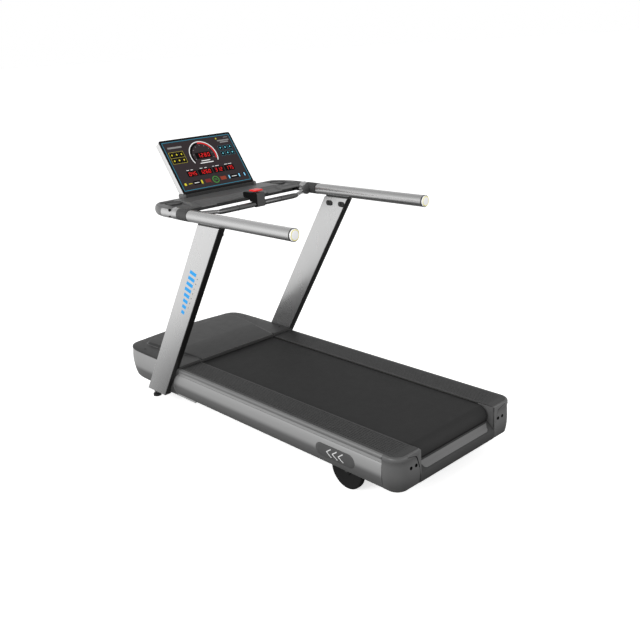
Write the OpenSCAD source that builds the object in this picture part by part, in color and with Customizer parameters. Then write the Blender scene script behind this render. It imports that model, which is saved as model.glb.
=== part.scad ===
// Motorised treadmill: flat running deck between two rollers, motor hood in front,
// two leaning uprights, side handrails, a cross bar and a console.
// The runner faces +Y. X runs to the runner's right, Z up from the floor.
// The origin is on the floor, under the middle of the machine.

/* [Deck] */
// Length of the machine from rear cap to front of hood
deck_len = 2310; // [2280:5:2340]
// Width over the side panels
deck_w = 874; // [870:1:880]
// Height of the side panels' lower edge above the floor
skirt_z = 100; // [98:1:102]
// Height of the foot rails' upper face above the floor
rail_top = 275; // [274:1:276]
// Width of the running belt
belt_w = 550; // [540:1:552]
// Gap in which the belt runs, between the foot rails
opening_w = 562; // [560:1:566]

/* [Rollers and drive] */
// Roller diameter
roller_d = 90; // [88:0.5:90]
// Running belt thickness
belt_t = 2.5; // [2:0.1:3]
// Diameter of the pulley on the front roller
roller_pulley_d = 100; // [96:1:100]
// Diameter of the pulley on the motor
motor_pulley_d = 60; // [54:1:64]
// Drive motor body diameter
motor_d = 114; // [104:1:116]

/* [Wheels and lift] */
// Rear wheel diameter
wheel_d = 200; // [196:1:202]
// Rear wheel width
wheel_w = 30; // [26:1:30]
// Height of a swivelling front foot's pivot
foot_pivot_z = 28; // [26:1:30]

/* [Uprights and handrails] */
// Lean of the uprights from the vertical, in degrees
lean = 33.2; // [32.8:0.1:33.6]
// Upright width along the machine
upright_w = 187; // [184:1:190]
// Upright thickness
upright_t = 40; // [38:1:42]
// Handrail tube diameter
rail_d = 62; // [60:1:62]
// Half the distance between the handrails' centre lines
rail_x = 453; // [452:1:454]
// Height of the handrails' centre line
rail_z = 1214; // [1213:1:1215]

/* [Console] */
// Screen width
screen_w = 500; // [490:1:510]
// Screen height along its face
screen_h = 349; // [340:1:352]
// Lean of the screen from the vertical, in degrees
screen_tilt = 35.8; // [34:0.1:38]
// Screen housing depth
screen_t = 50; // [44:1:52]

/* [Hidden] */
$fn = 48;
half_w = deck_w / 2;
rear_y = -deck_len / 2;
front_y = deck_len / 2;
hood_y = 521;          // rear edge of the hood
cap_y = rear_y + 100;  // seam between rear cap and side panel
wall = 3;

roller_r = roller_d / 2;
belt_top = rail_top - 8;
roller_z = belt_top - belt_t - roller_r;
rear_roller_y = -1068;
front_roller_y = 586;
shaft_r = 10;
roller_half = 279;
run_gap = 0.05;        // radial clearance of a turning fit
pulley_x = [-312, -288];
motor_y = 850;
motor_z = 226;

frame_x = [320, 370];
frame_z = [135, 245];
board_z = [roller_z + roller_r - 25.3, roller_z + roller_r - 0.3];
cushion_y = [-900, -460, -20, 420];

wheel_r = wheel_d / 2;
wheel_x = 388;
wheel_y = -808;
axle_r = 12;

lean_run = tan(lean);  // how far the upright shifts back for each unit of height
upright_foot = [668, 81];
upright_top_z = rail_z - rail_d / 2 - 4;
upright_in = 468 - upright_t;

lift_pivot = [460, 105];
lift_hook = [698, 57];
lift_top = [686, 258];
lift_pin_r = 8;
arm_x = [384, 408];
arm_z = [75, 99];
foot_y = 880;
foot_x = 396;

base_y = [345, 680];
base_z = [1186, 1243];
base_half = 484;
base_corner = 260;
bar_y = 206;
bar_z = 1204;
screen_foot = [553, 1262];

// ---- helpers ----

// A prism whose outline is given in (x, z), running from y0 to y1
module along_y(points, y0, y1) {
    translate([0, y1, 0]) rotate([90, 0, 0]) linear_extrude(y1 - y0) polygon(points);
}

// A prism whose outline is given in (y, z), running from x0 to x1
module along_x(points, x0, x1) {
    translate([x0, 0, 0]) rotate([90, 0, 90]) linear_extrude(x1 - x0) polygon(points);
}

module x_rod(r, x0, x1, y, z) {
    translate([x0, y, z]) rotate([0, 90, 0]) cylinder(r = r, h = x1 - x0);
}

module y_rod(r, y0, y1, x, z) {
    translate([x, y0, z]) rotate([-90, 0, 0]) cylinder(r = r, h = y1 - y0);
}

// A box given by its low and high bounds on each axis
module block(x, y, z) {
    translate([x[0], y[0], z[0]]) cube([x[1] - x[0], y[1] - y[0], z[1] - z[0]]);
}

// The same piece on the right and on the left
module both_sides() {
    children();
    mirror([1, 0, 0]) children();
}

function arc(cx, cy, r, a0, a1, n) =
    [for (i = [0:n]) let (a = a0 + (a1 - a0) * i / n) [cx + r * cos(a), cy + r * sin(a)]];

// A racetrack around two equal circles on a level line
function racetrack(y0, y1, z, r, n) = concat(arc(y1, z, r, -90, 90, n), arc(y0, z, r, 90, 270, n));

// The upright's (y, z) outline between two heights, grown by g on each long edge
function upright_y(z) = upright_foot[0] - (z - upright_foot[1]) * lean_run;
function upright_outline(z0, z1, g) = [
    [upright_y(z0) - g, z0], [upright_y(z0) + upright_w + g, z0],
    [upright_y(z1) + upright_w + g, z1], [upright_y(z1) - g, z1]];

module upright_room() {
    both_sides() along_x(upright_outline(70, 400, 1), upright_in - 1, 500);
}

// Plan of the front of the machine, pulled in by g, from y0 to the bowed front edge
corner_r = 108;
bow_r = 2100;
function front_bow(x, g) = front_y - 20 - g + sqrt(bow_r * bow_r - x * x) - (bow_r - 20);
function front_plan(g, y0) = let (
        cx = half_w - corner_r, r = corner_r - g,
        cy = front_bow(cx, g) - r)
    concat([[half_w - g, y0]], arc(cx, cy, r, 0, 84, 10),
        [for (i = [-4:4]) [-i * cx / 5, front_bow(i * cx / 5, g)]],
        arc(-cx, cy, r, 96, 180, 10), [[-half_w + g, y0]]);

// ---- chassis ----

module frame_rail() {
    color("dimgray") difference() {
        block(frame_x, [rear_y + 62, 1060], frame_z);
        block([frame_x[0] + wall, frame_x[1] - wall], [rear_y, 1100],
            [frame_z[0] + wall, frame_z[1] - wall]);
        for (y = [rear_roller_y, front_roller_y])
            x_rod(shaft_r + 0.2, frame_x[0] - 5, frame_x[1] + 5, y, roller_z);
        x_rod(axle_r + 0.2, frame_x[0] - 5, frame_x[1] + 5, wheel_y, wheel_r + 44);
    }
}

module crossmember(y, depth, z) {
    difference() {
        block([-frame_x[0], frame_x[0]], [y - depth / 2, y + depth / 2], z);
        block([-400, 400], [y - depth / 2 + wall, y + depth / 2 - wall], [z[0] + wall, z[1] - wall]);
    }
}

module frame_crossmembers() {
    color("dimgray") {
        for (y = [-960, -480, 0, 400]) crossmember(y, 40, [136, 164]);
        for (y = [626, 740, 850, 1040]) crossmember(y, 36, [136, 160]);
    }
}

// Outrigger that carries an upright, bolted to the rail's outer face
module upright_brackets() {
    color("dimgray") both_sides() difference() {
        union() {
            block([frame_x[1], upright_in], [632, 640], [150, 240]);
            block([frame_x[1], upright_in], [735, 743], [150, 240]);
            block([upright_in - 6, upright_in], [632, 743], [150, 240]);
            block([frame_x[1], frame_x[1] + 5], [632, 743], [150, 240]);
        }
        for (y = [660, 715], z = [170, 220])
            x_rod(6.2, upright_in - 10, upright_in + 1, y, z);
    }
}

module deck_board() {
    color("saddlebrown") block([-312, 312], [-1012, 528], board_z);
}

module deck_cushions() {
    color("black") both_sides() for (y = cushion_y) {
        block([290, 312], [y - 30, y + 30], [board_z[0] - 18, board_z[0]]);
        block([288, 320], [y - 34, y + 34], [board_z[0] - 23, board_z[0] - 18]);
    }
}

// ---- running surface ----

module running_belt() {
    slack = 0.35;
    inner = roller_r + slack;
    color([0.2, 0.2, 0.2]) difference() {
        along_x(racetrack(rear_roller_y, front_roller_y, roller_z, inner + belt_t, 24),
            -belt_w / 2, belt_w / 2);
        along_x(racetrack(rear_roller_y, front_roller_y, roller_z, inner, 24),
            -belt_w, belt_w);
    }
}

rib_pitch = 12;
rib_gap = 4;
rib_depth = 1.6;
rail_in = opening_w / 2;
rail_out = half_w - 13;
first_rib = rail_in + 14;
rib_count = floor((rail_out - 4 - first_rib) / rib_pitch);

module foot_rail() {
    grooves = [for (i = [0:rib_count - 1], p = [[0, 0], [0.6, -rib_depth],
            [rib_gap - 0.6, -rib_depth], [rib_gap, 0]])
        [first_rib + i * rib_pitch + p[0], rail_top + p[1]]];
    outline = concat(
        [[rail_in, rail_top - 6], [rail_in, rail_top - 2], [rail_in + 2, rail_top]],
        grooves,
        [[rail_out, rail_top], [rail_out, rail_top - 8], [frame_x[1] - 4, rail_top - 8],
         [frame_x[1] - 4, frame_z[1]], [frame_x[1] - 8, frame_z[1]], [frame_x[1] - 8, rail_top - 8],
         [frame_x[0] + 8, rail_top - 8], [frame_x[0] + 8, frame_z[1]], [frame_x[0] + 4, frame_z[1]],
         [frame_x[0] + 4, rail_top - 8], [rail_in + 6, rail_top - 8]]);
    color([0.27, 0.27, 0.28]) along_y(outline, cap_y + 0.5, hood_y - 1);
}

module edge_trims() {
    outline = concat([[rail_out + 0.3, rail_top - 24], [rail_out + 0.3, rail_top]],
        arc(half_w - 12, rail_top - 12, 12, 90, 0, 6), [[half_w, rail_top - 24]]);
    color([0.5, 0.5, 0.51]) both_sides() difference() {
        along_y(outline, cap_y + 0.5, hood_y - 1);
        boot_room();
    }
}

// Outer face of the side skin as (x, z) points, bulging most at mid height, pulled in by g
skin_top = 231;
function skin(g) = [for (i = [0:10]) let (t = i / 10)
    [half_w - g - 13 * pow(abs(t - 0.6) / 0.6, 2.6), skirt_z + t * (skin_top - skirt_z)]];
function reversed(v) = [for (i = [len(v) - 1:-1:0]) v[i]];

// Rear edge of the moulded boot that covers the foot of the upright
function boot_y(z) = upright_y(z) - 70 + (z - 86) * 0.15;

module boot_room() {
    along_x([[boot_y(60) - 0.5, 60], [900, 60], [900, 300], [boot_y(300) - 0.5, 300]], 300, 500);
}

module side_panel() {
    recess = 8;
    outline = concat(skin(0), [[half_w - recess, skin_top], [half_w - recess, rail_top - 25],
        [half_w - recess - wall, rail_top - 25], [half_w - recess - wall, skin_top - 4]],
        reversed([for (p = skin(wall)) if (p[1] < skin_top - 4) p]));
    color([0.52, 0.52, 0.53]) difference() {
        along_y(outline, cap_y + 0.5, 620);
        boot_room();
    }
}

// ---- rear end ----

cap_r = 65;
function cap_plan(g) = let (x = half_w - g, y = rear_y + g, r = cap_r - g)
    concat([[rail_in + g, cap_y], [rail_in + g, y]], arc(x - r, y + r, r, -90, 0, 8),
        [[x, cap_y]]);
hole_x = [313, 348];
hole_z = 205;

module end_cap() {
    color([0.36, 0.36, 0.37]) difference() {
        translate([0, 0, skirt_z]) linear_extrude(rail_top - skirt_z) polygon(cap_plan(0));
        translate([0, 0, skirt_z - 1]) linear_extrude(rail_top - skirt_z - 3) polygon(cap_plan(4));
        block([rail_in + 4, half_w - 4], [cap_y - 1, cap_y + 5], [skirt_z - 1, rail_top - 4]);
        for (x = hole_x) y_rod(6.5, rear_y - 5, rear_y + 10, x, hole_z);
        x_rod(shaft_r + 1, rail_in - 1, rail_in + 10, rear_roller_y, roller_z);
    }
}

module rear_cross_cover() {
    lip = [rear_y + 43, 190];
    color([0.4, 0.4, 0.41]) along_x([
        [rear_y, skirt_z], [rear_y, 151], lip, [lip[0] + 3, lip[1]],
        [rear_y + 4, 149], [rear_y + 4, skirt_z + 4],
        [rear_y + 30, skirt_z + 4], [rear_y + 30, skirt_z]], -rail_in, rail_in);
}

// Screws reached through the holes in the rear cap: two tension the belt, two hold the cap
module adjuster_bolts() {
    color("black") both_sides() for (x = hole_x) {
        y_rod(4, rear_y + 6, rear_y + 60, x, hole_z);
        y_rod(5.5, rear_y + 4.5, rear_y + 12, x, hole_z);
    }
}

module roller_shafts() {
    color("silver") for (y = [rear_roller_y, front_roller_y])
        x_rod(shaft_r, -frame_x[1] - 2, frame_x[1] + 2, y, roller_z);
}

// A hollow roller with an end disc at each end that runs on the fixed shaft
module roller_shell(y) {
    difference() {
        x_rod(roller_r, -roller_half, roller_half, y, roller_z);
        x_rod(roller_r - 4, -roller_half + 22, roller_half - 22, y, roller_z);
        x_rod(shaft_r + run_gap, -400, 400, y, roller_z);
    }
}

module rear_roller() {
    color("silver") roller_shell(rear_roller_y);
}

module front_roller() {
    color("silver") {
        roller_shell(front_roller_y);
        difference() {
            union() {
                x_rod(roller_pulley_d / 2, pulley_x[0], pulley_x[1], front_roller_y, roller_z);
                x_rod(22, pulley_x[1], -roller_half, front_roller_y, roller_z);
            }
            x_rod(shaft_r + run_gap, -400, 400, front_roller_y, roller_z);
        }
    }
}

// ---- front housing ----

module hood_layer(g, y0, z0, z1) {
    translate([0, 0, z0]) linear_extrude(z1 - z0) polygon(front_plan(g, y0));
}

module plateau(g, y0) {
    hull() {
        translate([0, 0, 288 - g]) linear_extrude(1) polygon(plateau_plan(372 - g, 1092 - g, y0));
        translate([0, 0, 305 - g]) linear_extrude(1)
            polygon(plateau_plan(348 - g, 1056 - g, y0 + 230));
    }
}
function plateau_plan(x, y, y0) = concat([[x, y0]], arc(x - 110, y - 110, 110, 0, 90, 8),
    arc(-x + 110, y - 110, 110, 90, 180, 8), [[-x, y0]]);

module motor_hood() {
    color([0.22, 0.22, 0.22]) difference() {
        union() {
            hood_layer(1.5, hood_y, 277, 283);
            hood_layer(4, hood_y, 283, 289);
            plateau(0, hood_y);
            block([-279, 279], [hood_y, hood_y + 6], [270, 278]);
        }
        hood_layer(6, hood_y + 4, 276, 285.5);
        plateau(3, hood_y + 4);
        upright_room();
    }
}

// Lower wall round the front, fullest at mid height and tucked in below
module shroud_form(g, z0) {
    hull() {
        translate([0, 0, z0]) linear_extrude(0.5) polygon(front_plan(15 + g, 560));
        translate([0, 0, 140]) linear_extrude(0.5) polygon(front_plan(6 + g, 560));
        translate([0, 0, 205]) linear_extrude(0.5) polygon(front_plan(g, 560));
        translate([0, 0, 275.5]) linear_extrude(0.5) polygon(front_plan(6 + g, 560));
    }
}

module front_shroud() {
    color([0.52, 0.52, 0.53]) difference() {
        shroud_form(0, skirt_z);
        difference() {
            shroud_form(wall, skirt_z);
            block([-500, 500], [500, 1200], [skirt_z - 50, skirt_z - 40]);
        }
        block([-404, 404], [500, front_y - 120], [skirt_z - 1, 300]);
        block([-360, 360], [500, front_y - 48], [skirt_z - 1, 150]);
        block([-400, 400], [500, front_y - 90], [200, 300]);
        along_x([[400, 60], [upright_y(60) + upright_w + 1, 60],
            [upright_y(300) + upright_w + 1, 300], [400, 300]], -500, 500);
        block([-60, 60], [front_y - 60, front_y + 5], [170, 220]);
    }
}

module belly_pan() {
    color("black") difference() {
        block([-392, 392], [600, 1032], [104, 107]);
        block([-40, 40], [630, 730], [100, 110]);
    }
}

// ---- drive ----

module drive_motor() {
    r = motor_d / 2;
    color([0.3, 0.33, 0.36]) difference() {
        union() {
            x_rod(r - 5, -272, -80, motor_y, motor_z);
            for (i = [0:12]) x_rod(r, -262 + i * 14, -257 + i * 14, motor_y, motor_z);
            block([-256, -92], [motor_y - 46, motor_y - 34], [166, 200]);
            block([-256, -92], [motor_y + 34, motor_y + 46], [166, 200]);
        }
        x_rod(axle_r + run_gap, -280, -200, motor_y, motor_z);
    }
}

module motor_plate() {
    color("dimgray") difference() {
        block([-284, -64], [motor_y - 70, motor_y + 70], [160, 166]);
        for (x = [-240, -108], y = [-60, 60]) translate([x, motor_y + y, 150]) cylinder(r = 4.5, h = 20);
    }
}

module motor_rotor() {
    color("silver") {
        x_rod(axle_r, pulley_x[0], -201, motor_y, motor_z);
        difference() {
            x_rod(motor_pulley_d / 2, pulley_x[0], pulley_x[1], motor_y, motor_z);
            x_rod(axle_r, pulley_x[0] - 1, pulley_x[1] + 1, motor_y, motor_z);
        }
    }
}

module drive_belt() {
    gap = 0.4;
    color("black") translate([pulley_x[0] + 1, 0, 0]) rotate([90, 0, 90])
        linear_extrude(pulley_x[1] - pulley_x[0] - 2) difference() {
            drive_loop(gap + 3);
            drive_loop(gap);
        }
}

module drive_loop(g) {
    hull() {
        translate([front_roller_y, roller_z]) circle(r = roller_pulley_d / 2 + g);
        translate([motor_y, motor_z]) circle(r = motor_pulley_d / 2 + g);
    }
}

module motor_controller() {
    color([0.25, 0.25, 0.27]) {
        block([80, 262], [770, 940], [160, 200]);
        for (i = [0:9]) block([82 + i * 19.5, 86 + i * 19.5], [770, 940], [200, 228]);
    }
}

// Mains inlet and switch plate set in the front wall
module power_panel() {
    color("black") difference() {
        block([-59.5, 59.5], [front_y - 20, front_y - 4], [170.5, 219.5]);
        block([-52, -12], [front_y - 16, front_y], [184, 206]);
        block([9, 33], [front_y - 17, front_y], [180, 210]);
    }
    color("silver") for (x = [-42, -32, -22]) block([x - 1, x + 1], [front_y - 17, front_y - 9], [192, 198]);
}

rocker_y = front_y - 6;
rocker_z = 195;
module power_rocker() {
    h = 13.5;
    color("red") along_x([[rocker_y - 5, rocker_z - h], [rocker_y - 1.5, rocker_z - h],
        [rocker_y + 0.5, rocker_z], [rocker_y + 4, rocker_z + h], [rocker_y - 1, rocker_z + h],
        [rocker_y - 6, rocker_z]], 10.5, 31.5);
}

// ---- incline lift ----

lift_len = norm(lift_top - lift_hook);
lift_angle = atan2(lift_top[0] - lift_hook[0], lift_top[1] - lift_hook[1]);

// Puts its children on the actuator's line: local Z runs up it from the lower pivot
module on_lift_line() {
    translate([0, lift_hook[0], lift_hook[1]]) rotate([-lift_angle, 0, 0]) children();
}

barrel_start = 24;
module lift_motor() {
    color([0.35, 0.35, 0.36]) on_lift_line() difference() {
        union() {
            translate([0, 0, barrel_start]) cylinder(r = 17, h = lift_len - barrel_start - 14);
            translate([-26, -24, lift_len - 24]) cube([52, 44, 38]);
            x_rod(lift_pin_r, -38, 38, 0, lift_len);
        }
        translate([0, 0, barrel_start - 4]) cylinder(r = 10 + run_gap, h = lift_len - barrel_start - 24);
    }
    color([0.2, 0.2, 0.2]) y_rod(23, lift_top[0] + 16, lift_top[0] + 120, 0, lift_top[1] - 8);
}

module lift_brackets() {
    color("dimgray") {
        both_sides() difference() {
            along_x([[724, 160], [756, 160], [712, 280], [668, 280], [664, 244]], 30, 36);
            x_rod(lift_pin_r + run_gap, 25, 40, lift_top[0], lift_top[1]);
        }
        both_sides() difference() {
            along_x([[lift_pivot[0] - 26, 160], [lift_pivot[0] + 26, 160], [lift_pivot[0] + 16, 90],
                [lift_pivot[0] - 16, 90]], frame_x[1], frame_x[1] + 6);
            x_rod(10, frame_x[1] - 1, frame_x[1] + 10, lift_pivot[0], lift_pivot[1]);
        }
        both_sides() x_rod(10, frame_x[1] - 2, arm_x[1] + 4, lift_pivot[0], lift_pivot[1]);
    }
}

// The lower eye is 3 mm wider all round than the pin it pulls on
module lift_rod() {
    color("silver") on_lift_line() difference() {
        union() {
            cylinder(r = 10, h = lift_len - 36);
            x_rod(18, -9, 9, 0, 0);
        }
        x_rod(lift_pin_r + 3, -20, 20, 0, 0);
    }
}

module lift_frame() {
    color([0.72, 0.72, 0.73]) {
        both_sides() difference() {
            union() {
                block(arm_x, [lift_pivot[0] - 18, foot_y + 8], arm_z);
                block(arm_x, [lift_pivot[0] - 18, lift_pivot[0] + 18], [arm_z[0], 112]);
                x_rod(18, arm_x[0], arm_x[1], lift_pivot[0], lift_pivot[1]);
            }
            x_rod(10 + run_gap, 300, 450, lift_pivot[0], lift_pivot[1]);
        }
        both_sides() block([24, 30], [lift_hook[0] - 16, lift_hook[0] + 60], [41, 96]);
        x_rod(lift_pin_r, -24, 24, lift_hook[0], lift_hook[1]);
        x_rod(16, -arm_x[0], arm_x[0], lift_hook[0] + 44, 86);
        both_sides() block([foot_x - 4, foot_x + 4], [foot_y - 9, foot_y + 8],
            [foot_pivot_z - 9, arm_z[0]]);
        both_sides() x_rod(5, foot_x - 16, foot_x + 16, foot_y, foot_pivot_z);
    }
}

// Rubber pad that swivels under the end of a lift arm
module foot_pad() {
    color("black") difference() {
        union() {
            translate([foot_x, foot_y, 0]) cylinder(r = 24, h = 14);
            for (s = [-1, 1]) block([foot_x + s * 9.5 - 3, foot_x + s * 9.5 + 3],
                [foot_y - 10, foot_y + 10], [13, foot_pivot_z + 9]);
        }
        x_rod(5 + run_gap, foot_x - 30, foot_x + 30, foot_y, foot_pivot_z);
    }
}

// ---- rear wheels ----

module rear_wheel() {
    color([0.13, 0.13, 0.13]) difference() {
        rotate([0, 90, 0]) translate([-wheel_r, wheel_y, wheel_x]) rotate_extrude()
            polygon([[axle_r + run_gap, 0], [28, 0], [28, 4], [78, 4], [78, 0], [wheel_r - 4, 0],
                [wheel_r, 4], [wheel_r, wheel_w - 4], [wheel_r - 4, wheel_w], [78, wheel_w],
                [78, wheel_w - 4], [28, wheel_w - 4], [28, wheel_w], [axle_r + run_gap, wheel_w]]);
    }
}

module wheel_axles() {
    color("silver") both_sides() {
        x_rod(axle_r, 378, wheel_x + wheel_w, wheel_y, wheel_r);
        difference() {
            along_x([[wheel_y - 26, 82], [wheel_y + 26, 82], [wheel_y + 44, 200],
                [wheel_y - 44, 200]], frame_x[1], frame_x[1] + 8);
            x_rod(axle_r + 0.2, 360, 385, wheel_y, wheel_r + 44);
        }
        x_rod(axle_r, frame_x[1] - 12, frame_x[1] + 14, wheel_y, wheel_r + 44);
    }
}

// ---- uprights ----

strip_t = 5;
module upright() {
    color("silver") difference() {
        along_x(upright_outline(upright_foot[1], upright_top_z, 0), upright_in, 468);
        along_x(upright_outline(upright_foot[1] - 1, upright_top_z - 8, -strip_t - 3.5),
            upright_in + 3.5, 464.5);
        along_x([for (z = [upright_foot[1] - 1, upright_top_z + 1], e = [-1, strip_t])
                [upright_y(z) + (z > 500 ? -e + strip_t - 1 : e), z]], upright_in + 3, 465);
        for (y = [660, 715], z = [170, 220]) x_rod(6.2, upright_in - 5, upright_in + 8, y, z);
        for (y = [0, 98]) x_rod(5.2, upright_in - 5, upright_in + 8, y, 1144);
    }
}

module upright_strips() {
    color([0.1, 0.1, 0.1]) both_sides()
        along_x([[upright_y(upright_foot[1]), upright_foot[1]],
            [upright_y(upright_foot[1]) + strip_t - 0.2, upright_foot[1]],
            [upright_y(upright_top_z) + strip_t - 0.2, upright_top_z],
            [upright_y(upright_top_z), upright_top_z]], upright_in + 3.2, 464.8);
}

module upright_boots() {
    color([0.25, 0.25, 0.26]) both_sides() along_x([[boot_y(86), 86], [upright_y(86) - 0.5, 86],
        [upright_y(272) - 0.5, 272], [boot_y(272), 272]], 426, 446);
}

module upright_bolts() {
    color([0.15, 0.15, 0.15]) both_sides() {
        for (y = [660, 715], z = [170, 220]) {
            x_rod(6, upright_in - 6, upright_in + 12, y, z);
            translate([upright_in - 14, y, z]) rotate([0, 90, 0]) cylinder(r = 10, h = 8, $fn = 6);
        }
        for (y = [0, 98]) {
            x_rod(5, upright_in - 1, upright_in + 12, y, 1144);
            along_x(racetrack(y - 11, y + 11, 1144, 15, 10), upright_in - 3, upright_in - 1);
            for (s = [-11, 11]) x_rod(8, upright_in - 7, upright_in - 3, y + s, 1144);
        }
    }
}

module handrail_saddles() {
    y0 = upright_y(upright_top_z);
    color([0.12, 0.12, 0.12]) both_sides() difference() {
        block([436, 468], [y0 + 4, y0 + upright_w - 4], [upright_top_z, rail_z - 14]);
        y_rod(rail_d / 2, -300, 300, rail_x, rail_z);
        block([rail_x + 22, 500], [-300, 300], [upright_top_z - 1, rail_z]);
    }
}

// ---- handrails ----

rail_end = -586;
module handrail() {
    color([0.7, 0.7, 0.7]) difference() {
        y_rod(rail_d / 2, rail_end, 207, rail_x, rail_z);
        y_rod(rail_d / 2 - 3, rail_end - 1, 208, rail_x, rail_z);
    }
}

// Black ring and pale domed cap on each handrail's rear end
cap_ring = 6;
module handrail_ends() {
    both_sides() {
        color("black") y_rod(rail_d / 2 + 0.8, rail_end - cap_ring, rail_end, rail_x, rail_z);
        color("ivory") translate([rail_x, rail_end - cap_ring, rail_z]) rotate([90, 0, 0])
            rotate_extrude() polygon([[0, 0], [rail_d / 2 - 1.5, 0], [rail_d / 2 - 5.5, 5.5],
                [20, 6.8], [10, 7.7], [0, 8]]);
    }
}

// Ring, rubber sleeve and short elbow tube between a handrail and the console base
module handrail_sleeves() {
    color([0.3, 0.3, 0.31]) both_sides() {
        y_rod(rail_d / 2 + 1, 207, 213, rail_x, rail_z);
        y_rod(rail_d / 2 + 0.4, 213, 300, rail_x, rail_z);
        y_rod(rail_d / 2 - 0.6, 300, base_y[0], rail_x, rail_z);
    }
}

function base_plan(g) = let (x = base_half - g, y = base_y[1] - g, r = base_corner - g)
    concat([[x, base_y[0]]], arc(x - r, y - r, r, 0, 90, 12), arc(-x + r, y - r, r, 90, 180, 12),
        [[-x, base_y[0]]]);

// Height of the console base's upper face, which falls towards the front
slope_y = 575;
function base_top(y) = base_z[1] - max(0, y - slope_y) * 0.204;

band_t = 2.5;
module elbow_bands() {
    color("silver") intersection() {
        translate([0, 0, 1191]) linear_extrude(44) difference() {
            polygon(base_plan(0));
            polygon(base_plan(band_t));
            translate([-300, 300]) square([600, 500]);
            for (s = [-1, 1]) translate([s * 480 - 10, 350]) square([20, 26]);
        }
        along_x([[300, 1180], [300, base_z[1]], [slope_y, base_z[1] - 3],
            [base_y[1] + 1, base_top(base_y[1]) - 3], [base_y[1] + 1, 1180]], -500, 500);
    }
}

tray = [372, 486];
module console_base() {
    color([0.3, 0.3, 0.31]) difference() {
        intersection() {
            translate([0, 0, base_z[0]]) linear_extrude(base_z[1] - base_z[0])
                polygon(base_plan(band_t));
            along_x([[base_y[0] - 1, base_z[0]], [base_y[0] - 1, 1224], [base_y[0], 1226],
                [428, base_z[1] - 1], [436, base_z[1]], [slope_y, base_z[1]],
                [base_y[1], base_top(base_y[1])], [base_y[1], 1196],
                [base_y[1] - 16, base_z[0]]], -500, 500);
        }
        both_sides() translate([tray[0], tray[1], 1201]) cylinder(r = 44, h = 60);
        block([-422, 422], [base_y[0] - 2, 402], [base_z[0] - 1, 1218]);
        translate([0, 0, base_z[0] - 1]) linear_extrude(10) polygon(base_plan(60));
    }
}

// Cross bar that bends forward at each end into the handrail sleeves
bar_half = 262;
module cross_bar() {
    bend = [422 - bar_half, 84];
    turn = atan2(bend[1], bend[0]);
    bend_r = 40;
    color([0.2, 0.2, 0.2]) difference() {
        union() {
            x_rod(11, -bar_half, bar_half, bar_y, bar_z);
            both_sides() translate([bar_half, bar_y, bar_z]) {
                translate([0, bend_r, 0]) rotate([0, 0, -90]) rotate_extrude(angle = turn)
                    translate([bend_r, 0]) circle(r = 11);
                translate([bend_r * sin(turn), bend_r * (1 - cos(turn)), 0]) rotate([0, 0, turn])
                    rotate([0, 90, 0]) {
                        cylinder(r = 11, h = norm(bend) - 12);
                        translate([0, 0, norm(bend) - 78]) cylinder(r1 = 13, r2 = 28, h = 66);
                    }
            }
        }
        both_sides() y_rod(rail_d / 2 + 0.4, 200, 340, rail_x, rail_z);
    }
}

module pulse_grips() {
    color([0.75, 0.75, 0.75]) both_sides() difference() {
        x_rod(15, 38, bar_half, bar_y, bar_z);
        x_rod(11.05, 30, bar_half + 5, bar_y, bar_z);
    }
}

// ---- emergency stop ----

stop_y = 227;

module estop_housing() {
    color([0.3, 0.3, 0.3]) difference() {
        along_x([[192, 1187], [192, 1257], [198, 1264], [300, 1264], [304, 1260], [304, 1240],
            [298, 1234], [248, 1224], [248, 1214], [bar_y, 1214], [bar_y, 1194], [240, 1194],
            [236, 1187]], -32, 32);
        x_rod(11.05, -40, 40, bar_y, bar_z);
        translate([0, stop_y, 1244]) cylinder(r = 12.2, h = 30);
    }
}

module estop_button() {
    color("red") {
        translate([0, stop_y, 1250]) cylinder(r = 12, h = 22);
        translate([0, stop_y, 1271]) linear_extrude(7) polygon(round_rect(30, -27, 27, 8));
        translate([0, stop_y, 1277.9]) linear_extrude(2.1) polygon(round_rect(28, -25, 25, 6));
    }
}

// ---- console ----

// Local frame of the screen: X across, Y up its face, Z out towards the runner
module on_screen() {
    translate([0, screen_foot[0], screen_foot[1]]) rotate([90 - screen_tilt, 0, 0]) children();
}

function round_rect(x, y0, y1, r) = concat(arc(x - r, y0 + r, r, -90, 0, 5),
    arc(x - r, y1 - r, r, 0, 90, 5), arc(-x + r, y1 - r, r, 90, 180, 5),
    arc(-x + r, y0 + r, r, 180, 270, 5));

module screen_layer(inset, z0, z1) {
    translate([0, 0, z0]) linear_extrude(z1 - z0)
        polygon(round_rect(screen_w / 2 - inset, inset, screen_h - inset, 10 - min(inset, 7)));
}

// (y, z) of a point u up the screen's face and d behind it
function screen_point(u, d) = [
    screen_foot[0] + d * cos(screen_tilt) + u * sin(screen_tilt),
    screen_foot[1] - d * sin(screen_tilt) + u * cos(screen_tilt)];

module console_back() {
    color([0.85, 0.85, 0.86]) difference() {
        on_screen() screen_layer(0, -screen_t, -6);
        block([-300, 300], [400, 700], [1200, base_z[1] + 3]);
        on_screen() screen_layer(8, -12.2, -5);
    }
}

module console_bezel() {
    color([0.05, 0.05, 0.05]) on_screen() difference() {
        screen_layer(0, -6, 0);
        screen_layer(11, -7, 1);
    }
}

module display_panel() {
    color([0.2, 0.19, 0.2]) on_screen() union() {
        screen_layer(11.2, -6, -1);
        screen_layer(8, -12, -6);
    }
}

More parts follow.
